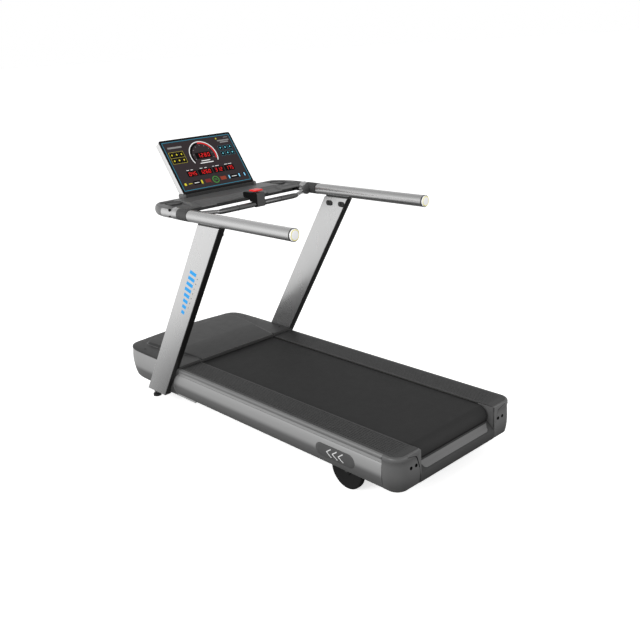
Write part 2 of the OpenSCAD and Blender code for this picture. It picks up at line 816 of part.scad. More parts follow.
// Plinth under the screen housing and the rear bracket that holds it up
module console_cradle() {
    top = base_z[1];
    back_gap = screen_t + 0.4;
    low = screen_point(13.4, back_gap);
    color([0.2, 0.2, 0.2]) {
        along_x([[545, top], [545, 1258], [552, 1261.5], [574.6, top + 2.7], [596, top + 2.7],
            [596, base_top(596)], [slope_y, top]], -240, 240);
        along_x([[low[0], base_top(low[0])], low, screen_point(110, back_gap),
            screen_point(110, back_gap + 10), [low[0] + 60, 1266],
            [low[0] + 66, base_top(low[0] + 66)]], -150, 150);
    }
}

// ---- small parts ----

// A thin oval plate that follows the side panel's bulge
module side_badges() {
    color([0.25, 0.25, 0.26]) both_sides() intersection() {
        along_y(concat(skin(-1.6), reversed(skin(0))), -890, -620);
        along_x(racetrack(-850, -660, 168, 36, 12), half_w - 20, half_w + 5);
    }
}

module hood_screws() {
    color("black") both_sides() for (y = [600, 960]) translate([395, y, 289]) cylinder(r = 6, h = 1.6);
}

// ---- assembly ----

mirror([1, 0, 0]) frame_rail();  // left_frame_rail
frame_rail();  // right_frame_rail
frame_crossmembers();
upright_brackets();
deck_board();
deck_cushions();
running_belt();
mirror([1, 0, 0]) foot_rail();  // left_foot_rail
foot_rail();  // right_foot_rail
edge_trims();
mirror([1, 0, 0]) side_panel();  // left_side_panel
side_panel();  // right_side_panel
mirror([1, 0, 0]) end_cap();  // left_end_cap
end_cap();  // right_end_cap
rear_cross_cover();
adjuster_bolts();
roller_shafts();
front_roller();
rear_roller();
motor_hood();
front_shroud();
belly_pan();
drive_motor();
motor_plate();
motor_rotor();
drive_belt();
motor_controller();
power_panel();
power_rocker();
lift_motor();
lift_brackets();
lift_rod();
lift_frame();
mirror([1, 0, 0]) foot_pad();  // left_foot_pad
foot_pad();  // right_foot_pad
mirror([1, 0, 0]) rear_wheel();  // left_rear_wheel
rear_wheel();  // right_rear_wheel
wheel_axles();
mirror([1, 0, 0]) upright();  // left_upright
upright();  // right_upright
upright_strips();
upright_boots();
upright_bolts();
handrail_saddles();
mirror([1, 0, 0]) handrail();  // left_handrail
handrail();  // right_handrail
handrail_ends();
handrail_sleeves();
elbow_bands();
console_base();
cross_bar();
pulse_grips();
estop_housing();
estop_button();
console_cradle();
console_back();
console_bezel();
display_panel();
side_badges();
hood_screws();
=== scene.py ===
import math

import bmesh
import bpy
from mathutils import Matrix, Vector


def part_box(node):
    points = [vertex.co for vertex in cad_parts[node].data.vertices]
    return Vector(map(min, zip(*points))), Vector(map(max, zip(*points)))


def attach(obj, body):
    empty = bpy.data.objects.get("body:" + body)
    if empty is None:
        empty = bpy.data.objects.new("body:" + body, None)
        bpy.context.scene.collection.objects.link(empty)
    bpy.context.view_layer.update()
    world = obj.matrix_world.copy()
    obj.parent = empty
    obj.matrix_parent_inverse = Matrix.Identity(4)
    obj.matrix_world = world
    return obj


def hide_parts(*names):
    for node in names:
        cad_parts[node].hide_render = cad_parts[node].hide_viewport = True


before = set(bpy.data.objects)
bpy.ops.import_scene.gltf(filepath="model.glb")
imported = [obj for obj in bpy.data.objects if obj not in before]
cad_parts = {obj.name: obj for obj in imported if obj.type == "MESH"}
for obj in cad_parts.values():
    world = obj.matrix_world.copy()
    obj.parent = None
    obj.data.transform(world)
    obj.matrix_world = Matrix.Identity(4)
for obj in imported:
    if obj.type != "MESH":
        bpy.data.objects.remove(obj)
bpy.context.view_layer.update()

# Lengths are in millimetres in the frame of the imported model; meshes are written in metres.
MM = 0.001


def span(node):
    """Lowest and highest corner of a CAD node, in millimetres."""
    low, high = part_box(node)
    return low / MM, high / MM


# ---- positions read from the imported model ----

PANEL_LOW, PANEL_HIGH = span("right_side_panel")
CAP_LOW, CAP_HIGH = span("right_end_cap")
BELT_LOW, BELT_HIGH = span("running_belt")
RAIL_HIGH = span("right_foot_rail")[1]
HOOD_Y = span("motor_hood")[0].y
FRONT_Y = span("front_shroud")[1].y
POST_LOW, POST_HIGH = span("right_upright")
TUBE_LOW, TUBE_HIGH = span("right_handrail")
BASE_LOW, BASE_HIGH = span("console_base")
BEZEL_LOW, BEZEL_HIGH = span("console_bezel")
PAD_LOW, PAD_HIGH = span("estop_button")
STOP_LOW, STOP_HIGH = span("estop_housing")
GRIP_LOW, GRIP_HIGH = span("pulse_grips")
WHEEL_LOW, WHEEL_HIGH = span("right_rear_wheel")
BADGE_LOW, BADGE_HIGH = span("side_badges")

HALF_W = PANEL_HIGH.x
SKIRT_Z = PANEL_LOW.z
REAR_Y = CAP_LOW.y
SEAM_Y = CAP_HIGH.y
DECK_TOP = CAP_HIGH.z
OPENING = CAP_LOW.x
SKIN_TOP = DECK_TOP - 44    # the side panels' upper edge
RAIL_X = (TUBE_LOW.x + TUBE_HIGH.x) / 2
RAIL_Z = (TUBE_LOW.z + TUBE_HIGH.z) / 2
TUBE_R = (TUBE_HIGH.z - TUBE_LOW.z) / 2
POST_FOOT_Z = POST_LOW.z
POST_TOP_Z = POST_HIGH.z
LEAN_RUN = 0.6544    # how far the uprights lean back for each unit of height
POST_REAR = POST_LOW.y + LEAN_RUN * (POST_TOP_Z - POST_FOOT_Z)
POST_WIDTH = POST_HIGH.y - POST_REAR
BELT_R = (BELT_HIGH.z - BELT_LOW.z) / 2
ROLLER_Y = BELT_LOW.y + BELT_R
ROLLER_Z = (BELT_LOW.z + BELT_HIGH.z) / 2
BAR_Y = (GRIP_LOW.y + GRIP_HIGH.y) / 2
BAR_Z = (GRIP_LOW.z + GRIP_HIGH.z) / 2
SIDES = ((1, "right"), (-1, "left"))


# ---- small maths helpers ----

def clamp(value):
    """The value held between 0 and 1."""
    return max(0.0, min(1.0, value))


def ease(value):
    """Smooth step from 0 to 1."""
    t = clamp(value)
    return t * t * (3 - 2 * t)


def table(pairs, at):
    """Value at a place in a sorted list of (place, value) pairs, joined by straight lines."""
    if at <= pairs[0][0]:
        return pairs[0][1]
    for (a, va), (b, vb) in zip(pairs, pairs[1:]):
        if at <= b:
            return va + (vb - va) * (at - a) / (b - a)
    return pairs[-1][1]


def arc(cx, cy, radius, start, stop, steps):
    """Points on a circle, angles in degrees."""
    points = []
    for i in range(steps + 1):
        angle = math.radians(start + (stop - start) * i / steps)
        points.append((cx + radius * math.cos(angle), cy + radius * math.sin(angle)))
    return points


def rounded(half_w, low, high, radius, steps=6):
    """A rectangle with rounded corners, centred on 0 across."""
    x = half_w - radius
    return (arc(x, low + radius, radius, -90, 0, steps) + arc(x, high - radius, radius, 0, 90, steps)
            + arc(-x, high - radius, radius, 90, 180, steps)
            + arc(-x, low + radius, radius, 180, 270, steps))


def bar(u0, u1, v0, v1):
    """A plain rectangle."""
    return [(u0, v0), (u1, v0), (u1, v1), (u0, v1)]


def post_y(z):
    """Rear edge of the leaning upright at height z."""
    return POST_REAR - LEAN_RUN * (z - POST_FOOT_Z)


def slanted(z0, z1, front, rear):
    """Outline of a slice of the upright between two offsets from its rear edge."""
    return [(post_y(z0) + rear, z0), (post_y(z0) + front, z0), (post_y(z1) + front, z1),
            (post_y(z1) + rear, z1)]


# ---- mesh helpers ----

def make(name, points, faces, material):
    """An object from points in millimetres."""
    mesh = bpy.data.meshes.new(name)
    mesh.from_pydata([Vector(p) * MM for p in points], [], faces)
    mesh.materials.append(material)
    work = bmesh.new()
    work.from_mesh(mesh)
    bmesh.ops.remove_doubles(work, verts=work.verts, dist=1e-6)
    bmesh.ops.recalc_face_normals(work, faces=work.faces)
    work.to_mesh(mesh)
    work.free()
    obj = bpy.data.objects.new(name, mesh)
    bpy.context.scene.collection.objects.link(obj)
    return obj


def settle(obj):
    """Applies every modifier."""
    graph = bpy.context.evaluated_depsgraph_get()
    mesh = bpy.data.meshes.new_from_object(obj.evaluated_get(graph))
    obj.modifiers.clear()
    obj.data = mesh
    return obj


def soften(obj, width, segments=2):
    """Rounds the sharp edges."""
    bevel = obj.modifiers.new("edge", "BEVEL")
    bevel.width = width * MM
    bevel.segments = segments
    bevel.limit_method = "ANGLE"
    bevel.angle_limit = math.radians(30)
    return settle(obj)


def thicken(obj, depth, offset=-1):
    """Gives an open surface a wall, on its inner side unless offset says otherwise."""
    wall = obj.modifiers.new("wall", "SOLIDIFY")
    wall.thickness = depth * MM
    wall.offset = offset
    return settle(obj)


def cut(obj, *cutters):
    """Takes the cutters out of obj and deletes them."""
    for cutter in cutters:
        hole = obj.modifiers.new("cut", "BOOLEAN")
        hole.operation = "DIFFERENCE"
        hole.solver = "EXACT"
        hole.object = cutter
    settle(obj)
    for cutter in cutters:
        bpy.data.objects.remove(cutter)
    return obj


def spot(axis, along, a, b):
    """A point from its place along an axis and its two places across it."""
    return {"x": (along, a, b), "y": (a, along, b), "z": (a, b, along)}[axis]


def loft(name, rings, material, closed=True, ends=True, loop=False):
    """Skin over rings of points. closed joins each ring's ends, loop the last ring to the first."""
    n = len(rings[0])
    points = [p for ring in rings for p in ring]
    faces = []
    for k in range(len(rings) - (0 if loop else 1)):
        nxt = (k + 1) % len(rings)
        for i in range(n if closed else n - 1):
            j = (i + 1) % n
            faces.append((k * n + i, k * n + j, nxt * n + j, nxt * n + i))
    if ends and not loop:
        faces.append(tuple(range(n)))
        faces.append(tuple(reversed(range(len(points) - n, len(points)))))
    return make(name, points, faces, material)


def prism(name, outline, axis, low, high, material, edge=0.0, segments=2):
    """An outline drawn out along an axis, its edges rounded by edge."""
    rings = [[spot(axis, along, a, b) for a, b in outline] for along in (low, high)]
    obj = loft(name, rings, material)
    return soften(obj, edge, segments) if edge else obj


def lathe(name, profile, centre, axis, material, steps=48):
    """Turns (radius, place along the axis) points round an axis through centre."""
    rings = []
    for radius, along in profile:
        circle = arc(0, 0, max(radius, 0.0005), 0, 360, steps)[:-1]
        rings.append([Vector(centre) + Vector(spot(axis, along, a, b)) for a, b in circle])
    return loft(name, rings, material)


def sweep(name, path, section, material):
    """Carries a section of (side, up) points along a level path."""
    rings = []
    for i, place in enumerate(path):
        before = Vector(path[max(i - 1, 0)])
        after = Vector(path[min(i + 1, len(path) - 1)])
        along = (after - before).normalized()
        side = along.cross(Vector((0, 0, 1))).normalized()
        up = side.cross(along)
        rings.append([Vector(place) + side * s + up * u for s, u in section])
    return loft(name, rings, material)


def crowded(half, columns, share):
    """Places from -half to half, closer together towards both ends."""
    return [half * (share * math.sin(math.pi * (i / columns - 0.5)) + (1 - share) * (2 * i / columns - 1))
            for i in range(columns + 1)]


def grid_faces(across, rows):
    """Quads between rows of points, across points in each row."""
    return [(j * across + i, j * across + i + 1, (j + 1) * across + i + 1, (j + 1) * across + i)
            for j in range(rows) for i in range(across - 1)]


def grow(points, faces, edge, places):
    """Adds a row of places and joins it to the points numbered in edge. Gives the new numbers."""
    fresh = list(range(len(points), len(points) + len(places)))
    points += places
    faces += [(edge[k], edge[k + 1], fresh[k + 1], fresh[k]) for k in range(len(edge) - 1)]
    return fresh


def front_reach(rim, x, least):
    """How far forward the outline rim reaches at x."""
    best = least
    for (ax, ay), (bx, by) in zip(rim, rim[1:]):
        if (ax - x) * (bx - x) <= 0 and abs(ax - bx) > 1e-6:
            best = max(best, ay + (by - ay) * (x - ax) / (bx - ax))
    return best


def mirrored(obj, name):
    """A copy on the other side of the middle plane."""
    mesh = obj.data.copy()
    mesh.transform(Matrix.Scale(-1, 4, (1, 0, 0)))
    mesh.flip_normals()
    twin = bpy.data.objects.new(name, mesh)
    bpy.context.scene.collection.objects.link(twin)
    return twin


def join(name, parts):
    """One object from several of the same material."""
    work = bmesh.new()
    for part in parts:
        work.from_mesh(part.data)
    mesh = bpy.data.meshes.new(name)
    work.to_mesh(mesh)
    work.free()
    mesh.materials.append(parts[0].data.materials[0])
    for part in parts:
        bpy.data.objects.remove(part)
    obj = bpy.data.objects.new(name, mesh)
    bpy.context.scene.collection.objects.link(obj)
    return obj


def fit(obj, slot, *nodes, body="frame", angle=32):
    """Smooth shading, then the nodes it stands for and the body it rides on; slot is not used."""
    for polygon in obj.data.polygons:
        polygon.use_smooth = True
    obj.data.set_sharp_from_angle(angle=math.radians(angle))
    if nodes:
        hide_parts(*nodes)
    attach(obj, body)


def other_side(name):
    """The left-hand name that belongs to a right-hand one; other names stay as they are."""
    return name.replace("right_", "left_", 1) if name.startswith("right_") else name


def fit_pair(obj, slot, *nodes, body="frame", angle=32):
    """Fits a right-hand piece and its mirror image."""
    twin = mirrored(obj, other_side(obj.name))
    fit(obj, slot, *nodes, body=body, angle=angle)
    fit(twin, slot, *[other_side(node) for node in nodes], body=other_side(body), angle=angle)


# ---- materials ----

def shade(value, tint=(1.0, 1.0, 1.0)):
    """Linear colour from a display grey of 0 to 255, with a slight tint."""
    level = (value / 255) ** 2.2
    return (level * tint[0], level * tint[1], level * tint[2], 1.0)


def rgb(r, g, b):
    """Linear colour from display levels of 0 to 255."""
    return ((r / 255) ** 2.2, (g / 255) ** 2.2, (b / 255) ** 2.2, 1.0)


def lighter(colour, gain, lift=0.0):
    """The colour times gain, plus lift."""
    return tuple(min(c * gain + lift, 1.0) for c in colour[:3]) + (1.0,)


def noise(tree, where, scale, detail):
    """A noise texture."""
    clouds = tree.nodes.new("ShaderNodeTexNoise")
    clouds.inputs["Scale"].default_value = scale
    clouds.inputs["Detail"].default_value = detail
    tree.links.new(where, clouds.inputs["Vector"])
    return clouds.outputs["Fac"]


def mottled(tree, where, colour, mottle):
    """Colour that drifts between slightly darker and slightly lighter."""
    tone = tree.nodes.new("ShaderNodeMix")
    tone.data_type = "RGBA"
    tone.inputs["A"].default_value = lighter(colour, 1 - mottle)
    tone.inputs["B"].default_value = lighter(colour, 1 + mottle)
    tree.links.new(noise(tree, where, 7.0, 6.0), tone.inputs["Factor"])
    return tone.outputs["Result"]


def paint_shade_downwards(tree, place, paint, painted_shade):
    """Painted shade: paint that darkens downwards, standing in for the shade on lower faces.
    painted_shade = (low height, high height, share of the colour left at the low one), heights in metres."""
    height = tree.nodes.new("ShaderNodeSeparateXYZ")
    tree.links.new(place, height.inputs["Vector"])
    ramp = tree.nodes.new("ShaderNodeMapRange")
    ramp.interpolation_type = "SMOOTHSTEP"
    ramp.inputs["From Min"].default_value = painted_shade[0]
    ramp.inputs["From Max"].default_value = painted_shade[1]
    ramp.inputs["To Min"].default_value = painted_shade[2]
    tree.links.new(height.outputs["Z"], ramp.inputs["Value"])
    darker = tree.nodes.new("ShaderNodeMix")
    darker.data_type = "RGBA"
    darker.blend_type = "MULTIPLY"
    darker.inputs["Factor"].default_value = 1.0
    tree.links.new(paint, darker.inputs["A"])
    tree.links.new(ramp.outputs["Result"], darker.inputs["B"])
    return darker.outputs["Result"]


def worn(tree, paint, colour, wear):
    """Paint that is paler on sharp edges."""
    shape = tree.nodes.new("ShaderNodeNewGeometry")
    edge = tree.nodes.new("ShaderNodeMapRange")
    edge.inputs["From Min"].default_value = 0.52
    edge.inputs["From Max"].default_value = 0.62
    edge.inputs["To Max"].default_value = wear
    tree.links.new(shape.outputs["Pointiness"], edge.inputs["Value"])
    paler = tree.nodes.new("ShaderNodeMix")
    paler.data_type = "RGBA"
    paler.inputs["B"].default_value = lighter(colour, 1.8, 0.03)
    tree.links.new(edge.outputs["Result"], paler.inputs["Factor"])
    tree.links.new(paint, paler.inputs["A"])
    return paler.outputs["Result"]


def relief(tree, where, grain, bump, cells):
    """Fine bumps from noise, or from small cells."""
    if cells:
        fine = tree.nodes.new("ShaderNodeTexVoronoi")
        fine.inputs["Scale"].default_value = grain
        tree.links.new(where, fine.inputs["Vector"])
        height = fine.outputs["Distance"]
    else:
        height = noise(tree, where, grain, 3.0)
    bumps = tree.nodes.new("ShaderNodeBump")
    bumps.inputs["Strength"].default_value = bump
    bumps.inputs["Distance"].default_value = 0.0004
    tree.links.new(height, bumps.inputs["Height"])
    return bumps.outputs["Normal"]


def uneven(tree, where, rough):
    """Roughness that drifts a little round its mean."""
    share = tree.nodes.new("ShaderNodeMapRange")
    share.inputs["To Min"].default_value = max(rough - 0.05, 0.02)
    share.inputs["To Max"].default_value = min(rough + 0.05, 1.0)
    tree.links.new(noise(tree, where, 24.0, 4.0), share.inputs["Value"])
    return share.outputs["Result"]


def surface(name, colour, rough, metal=0.0, grain=900.0, bump=0.08, mottle=0.06, stretch=(1, 1, 1),
            wear=0.0, painted_shade=None, specular=0.5, cells=False, glow=0.0):
    """A procedural finish: mottled colour, uneven gloss, fine grain, paler worn edges, and painted shade that
    darkens downwards where asked.
    """
    mat = bpy.data.materials.new(name)
    mat.use_nodes = True
    tree = mat.node_tree
    tree.nodes.clear()
    out = tree.nodes.new("ShaderNodeOutputMaterial")
    shader = tree.nodes.new("ShaderNodeBsdfPrincipled")
    tree.links.new(shader.outputs["BSDF"], out.inputs["Surface"])
    shader.inputs["Metallic"].default_value = metal
    shader.inputs["Specular IOR Level"].default_value = specular

    place = tree.nodes.new("ShaderNodeTexCoord").outputs["Object"]
    scaled = tree.nodes.new("ShaderNodeMapping")
    scaled.inputs["Scale"].default_value = stretch
    tree.links.new(place, scaled.inputs["Vector"])
    where = scaled.outputs["Vector"]

    paint = mottled(tree, where, colour, mottle)
    # painted shade: the colour darkens towards the bottom, standing in for shade lower down
    if painted_shade:
        paint = paint_shade_downwards(tree, place, paint, painted_shade)
    if wear:
        paint = worn(tree, paint, colour, wear)
    tree.links.new(paint, shader.inputs["Base Color"])
    if glow:
        tree.links.new(paint, shader.inputs["Emission Color"])
        shader.inputs["Emission Strength"].default_value = glow
    tree.links.new(relief(tree, where, grain, bump, cells), shader.inputs["Normal"])
    tree.links.new(uneven(tree, where, rough), shader.inputs["Roughness"])
    return mat


BRUSHED_Y = (1.0, 0.03, 1.0)

belt_rubber = surface("belt_rubber", shade(46), 0.72, grain=1500, bump=0.25, mottle=0.05, cells=True,
                      specular=0.25)
rail_plastic = surface("rail_plastic", shade(58), 0.5, grain=1800, bump=0.03, specular=0.3)
trim_metal = surface("trim_metal", shade(122), 0.38, 0.5, 1200, 0.03, 0.04, BRUSHED_Y, wear=0.1)
# painted shade: the side panels and the shroud darken towards the bottom, standing in for their shaded lower
# half
panel_metal = surface("panel_metal", shade(158), 0.42, 0.55, 1600, 0.03, 0.03, BRUSHED_Y,
                      painted_shade=(0.15, 0.185, 0.42))
cap_plastic = surface("cap_plastic", shade(78), 0.42, grain=1600, bump=0.1, wear=0.3)
# painted shade: the rear caps' faces darken towards the bottom
cap_panel = surface("cap_panel", shade(84), 0.45, grain=1600, bump=0.1, wear=0.3,
                    painted_shade=(0.1, 0.2, 0.6))
sill_metal = surface("sill_metal", shade(104), 0.45, 0.2, 1500, 0.04, 0.04, wear=0.2)
# painted shade: the sill darkens towards its foot
sill_body = surface("sill_body", shade(70), 0.6, grain=1600, bump=0.1, specular=0.12, painted_shade=(0.1, 0.18, 0.8))
hood_plastic = surface("hood_plastic", shade(44), 0.46, grain=1700, bump=0.14, wear=0.35, specular=0.4)
boot_plastic = surface("boot_plastic", shade(60), 0.45, grain=1500, bump=0.1, wear=0.2)
black_plastic = surface("black_plastic", shade(22), 0.42, grain=1500, bump=0.1, wear=0.2)
# near-black finish for black parts, also used as painted shade: the sheet under the rear roller and the tubes
# lining the adjuster holes
black_and_shade = surface("black_and_shade", shade(10), 0.7, grain=1500, bump=0.1, specular=0.15)
silver = surface("satin_silver", shade(206), 0.27, 0.9, 1500, 0.025, 0.03, BRUSHED_Y)
# painted shade: a darker copy of the elbow bands' metal for the part round the console's corners, where the
# band turns away from the light
shaded_band_metal = surface("shaded_band_metal", shade(112), 0.35, 0.6, 1500, 0.03, 0.04)
# painted shade: the uprights darken towards their feet, standing in for shade and dark reflections lower down
post_silver = surface("post_silver", shade(212), 0.28, 0.75, 1500, 0.02, 0.03, (1, 0.3, 0.05),
                      painted_shade=(0.15, 0.8, 0.6))
sleeve_rubber = surface("sleeve_rubber", shade(66), 0.5, grain=1400, bump=0.15)
console_plastic = surface("console_plastic", shade(92), 0.45, grain=1700, bump=0.12, wear=0.25)
stop_plastic = surface("stop_plastic", shade(66), 0.5, grain=1500, bump=0.12, wear=0.2, specular=0.3)
tray_plastic = surface("tray_plastic", shade(52), 0.55, grain=1700, bump=0.15)
grip_metal = surface("grip_metal", shade(96), 0.25, 0.8, 900, 0.02, 0.04, (0.03, 1, 1))
bar_metal = surface("bar_metal", shade(150), 0.25, 0.9, 900, 0.02, 0.04)
screen_shell = surface("screen_shell", shade(212), 0.35, 0.1, 1500, 0.03, 0.02, wear=0.1)
bezel_gloss = surface("bezel_gloss", shade(9), 0.35, grain=700, bump=0.01, specular=0.2)
# painted glow: the dark display plate shines a little by itself
display_glass = surface("display_glass", rgb(50, 44, 46), 0.45, grain=600, bump=0.01, specular=0.15,
                        glow=0.2)
white_plastic = surface("white_plastic", shade(240), 0.35, grain=1200, bump=0.05, mottle=0.02)
yellow_ring = surface("yellow_ring", rgb(236, 226, 130), 0.4, grain=1200, bump=0.05, mottle=0.04)
red_plastic = surface("red_plastic", rgb(236, 20, 18), 0.35, grain=1000, bump=0.05, mottle=0.04)
blue_print = surface("blue_print", rgb(0, 150, 222), 0.4, grain=900, bump=0.03, mottle=0.04)
grey_print = surface("grey_print", shade(120), 0.5, grain=900, bump=0.03)
light_print = surface("light_print", shade(214), 0.4, grain=900, bump=0.03)
steel = surface("steel", shade(150), 0.35, 0.85, 1100, 0.04, 0.08)
chassis_paint = surface("chassis_paint", shade(44), 0.5, grain=600, bump=0.2, mottle=0.12, wear=0.4)
lift_paint = surface("lift_paint", shade(150), 0.4, 0.3, 700, 0.12, 0.06, wear=0.2)
rubber = surface("rubber", shade(26), 0.75, grain=800, bump=0.4, mottle=0.12)
tyre = surface("tyre", shade(20), 0.7, grain=700, bump=0.3, mottle=0.1, specular=0.2)
hub_plastic = surface("hub_plastic", shade(18), 0.6, grain=1500, bump=0.1, specular=0.2)
motor_paint = surface("motor_paint", shade(80, (0.9, 1.0, 1.1)), 0.4, 0.2, 500, 0.1, 0.1, wear=0.4)
board_coating = surface("board_coating", rgb(34, 31, 29), 0.6, 0.0, 300, 0.2, 0.25, (6, 0.4, 6))
# painted highlight: a paler grey for the raised lines along the hood's crease and rear edge, standing in for
# the light those edges catch
crease_highlight = surface("crease_highlight", shade(82), 0.4, grain=1500, bump=0.06)
line_plastic = surface("line_plastic", shade(112), 0.45, grain=1500, bump=0.06)
badge_plastic = surface("badge_plastic", shade(70), 0.35, grain=1200, bump=0.06, wear=0.2)


# ---- camera, floor and light ----

def add_camera():
    """The photo's view."""
    lens = bpy.data.cameras.new("camera")
    lens.lens = 45.37
    lens.sensor_width = 36.0
    lens.clip_end = 2000.0
    eye = bpy.data.objects.new("camera", lens)
    right = Vector((0.72472, -0.68663, -0.05759)).normalized()
    up = Vector((0.26062, 0.19579, 0.94538)).normalized()
    back = right.cross(up)
    turn = Matrix((right, up, back)).transposed().to_4x4()
    eye.matrix_world = Matrix.Translation((-2.7547, -3.2543, 2.0007)) @ turn
    bpy.context.scene.collection.objects.link(eye)
    bpy.context.scene.camera = eye


def add_floor():
    """A white ground that reaches the horizon."""
    half = 400000
    floor = make("floor", [(-half, -half, 0), (half, -half, 0), (half, half, 0), (-half, half, 0)],
                 [(0, 1, 2, 3)], surface("floor_paint", shade(250), 0.8, mottle=0.01, bump=0.02, glow=0.7))
    floor.visible_diffuse = False
    floor.visible_glossy = False


def add_light(name, place, size, power):
    """A soft round lamp that shines at the treadmill."""
    lamp = bpy.data.lights.new(name, "AREA")
    lamp.shape = "DISK"
    lamp.size = size
    lamp.energy = power
    obj = bpy.data.objects.new(name, lamp)
    obj.location = place
    aim = Vector((0, 0, 0.7)) - Vector(place)
    obj.rotation_euler = aim.to_track_quat("-Z", "Y").to_euler()
    bpy.context.scene.collection.objects.link(obj)


def add_studio():
    """A bright dome above, darker below the horizon, and two soft lamps."""
    world = bpy.data.worlds.new("studio")
    bpy.context.scene.world = world
    world.use_nodes = True
    nodes = world.node_tree.nodes
    links = world.node_tree.links
    nodes.clear()
    out = nodes.new("ShaderNodeOutputWorld")
    sky = nodes.new("ShaderNodeBackground")
    where = nodes.new("ShaderNodeTexCoord")
    split = nodes.new("ShaderNodeSeparateXYZ")
    share = nodes.new("ShaderNodeMapRange")
    ramp = nodes.new("ShaderNodeValToRGB")
    links.new(where.outputs["Generated"], split.inputs["Vector"])
    links.new(split.outputs["Z"], share.inputs["Value"])
    share.inputs["From Min"].default_value = -1.0
    links.new(share.outputs["Result"], ramp.inputs["Fac"])
    steps = ramp.color_ramp.elements
    for place, level in ((0.19, 0.12), (0.35, 0.85), (0.495, 1.0), (0.58, 1.0), (0.88, 0.42)):
        step = steps.new(place)
        step.color = (level, level, level, 1)
    steps.remove(steps[0])
    steps.remove(steps[len(steps) - 1])
    links.new(ramp.outputs["Color"], sky.inputs["Color"])
    sky.inputs["Strength"].default_value = 1.0
    links.new(sky.outputs["Background"], out.inputs["Surface"])
    add_light("key", (-5.0, -0.6, 2.4), 3.0, 165)
    add_light("fill", (1.5, -5.0, 2.6), 3.0, 60)
    bpy.context.scene.view_settings.view_transform = "Standard"


# ---- running surface ----

def build_belt():
    """The endless belt round both rollers, its edges slightly rounded."""
    low, high = BELT_LOW.x, BELT_HIGH.x
    rings = []
    front_y = BELT_HIGH.y - BELT_R
    path = arc(ROLLER_Y, ROLLER_Z, 1, 90, 270, 36) + arc(front_y, ROLLER_Z, 1, -90, 90, 36)
    centres = [ROLLER_Y] * 37 + [front_y] * 37
    for (py, pz), cy in zip(path, centres):
        dy, dz = py - cy, pz - ROLLER_Z
        ring = []
        for x, depth in ((low, 1.25), (low + 0.7, 0.2), (low + 4, 0), (0, 0), (high - 4, 0),
                         (high - 0.7, 0.2), (high, 1.25), (high - 1, 2.5), (low + 1, 2.5)):
            r = BELT_R - depth
            ring.append((x, cy + dy * r, ROLLER_Z + dz * r))
        rings.append(ring)
    belt = loft("belt_loop", rings, belt_rubber, loop=True)
    fit(belt, "belt_rubber", "running_belt")


def rib_section(y, depth, outer):
    """Section of the ribbed strip at y, its grooves depth deep."""
    top = DECK_TOP
    pitch, gap, first = 12, 5, OPENING + 13
    outline = [(OPENING + 0.2, top - 8), (OPENING + 0.2, top - 2.2), (OPENING + 0.8, top - 0.7),
               (OPENING + 2.2, top)]
    for i in range(10):
        x = first + i * pitch
        outline += [(x, top), (x + 0.35, top - depth * 0.3), (x + 0.8, top - depth),
                    (x + gap - 0.8, top - depth), (x + gap - 0.35, top - depth * 0.3), (x + gap, top)]
    outline += [(outer, top), (outer, top - 8)]
    return [(x, y, z) for x, z in outline]


def build_foot_rails():
    """Ribbed strips. The ribs die out over the rear caps."""
    outer = RAIL_HIGH.x - 0.5
    rail = loft("right_rail_strip", [rib_section(SEAM_Y + 8, 3, outer), rib_section(HOOD_Y + 2, 3, outer)],
                rail_plastic)
    fit_pair(rail, "rail_plastic", "right_foot_rail", angle=20)
    rings = [rib_section(REAR_Y + 44, 0.02, outer - 3.5), rib_section(REAR_Y + 62, 1.2, outer - 1),
             rib_section(SEAM_Y + 7.9, 3, outer)]
    fit_cap(loft("right_cap_ribs", rings, rail_plastic), 20)


def panel_face(z):
    """Half the width over the bulging side panels at height z."""
    t = clamp((z - SKIRT_Z) / (SKIN_TOP - SKIRT_Z))
    return HALF_W - 13 * (abs(t - 0.6) / 0.6) ** 2.6


def skin(g):
    """Outer face of the side panel as (x, z) points, pulled in by g."""
    steps = 26
    heights = [SKIRT_Z + (SKIN_TOP - SKIRT_Z) * i / steps for i in range(steps + 1)]
    return [(panel_face(z) - g, z) for z in heights]


def build_side_panels():
    """Bulging side panels with a narrow recess under the edge trims."""
    recess = HALF_W - 8
    inner = [p for p in skin(3) if p[1] < SKIN_TOP - 4]
    outline = (skin(0)[:-1] + [(HALF_W - 5.2, SKIN_TOP - 0.8), (HALF_W - 7, SKIN_TOP), (recess, SKIN_TOP),
               (recess, DECK_TOP - 25), (recess - 3, DECK_TOP - 25), (recess - 3, SKIN_TOP - 4)]
               + list(reversed(inner)))
    panel = prism("right_panel_skin", outline, "y", SEAM_Y + 1.2, 640, panel_metal)
    fit_pair(panel, "side_panel_metal", "right_side_panel", angle=24)


def build_edge_trims():
    """Rounded metal edges beside the foot rails."""
    top = DECK_TOP
    x0 = RAIL_HIGH.x + 0.3
    outline = [(x0, top - 24), (x0, top - 1), (x0 + 1, top - 0.2)]
    outline += arc(HALF_W - 12, top - 12, 12, 90, 0, 12) + [(HALF_W, top - 21), (HALF_W - 1.5, top - 24)]
    trim = prism("right_edge_band", outline, "y", SEAM_Y - 4, post_y(263) - 2, trim_metal)
    fit_pair(trim, "edge_trim_metal", "edge_trims")


# ---- rear end ----

HOLE_R = 8.6
BOLT_Z = 205
BOLT_XS = (313, 348)


def cap_plan(g, inner_g=0.0):
    """Plan of the right rear cap, pulled in by g."""
    x, y, r = HALF_W - g, REAR_Y + g, 65 - g
    return ([(OPENING + inner_g, SEAM_Y), (OPENING + inner_g, y + 3), (OPENING + inner_g + 3, y)]
            + arc(x - r, y + r, r, -90, 0, 16) + [(x, SEAM_Y)])


def fit_cap(obj, angle=32):
    """Fits a piece of the right rear cap and its mirror image."""
    fit_pair(obj, "end_cap_plastic", "right_end_cap", angle=angle)


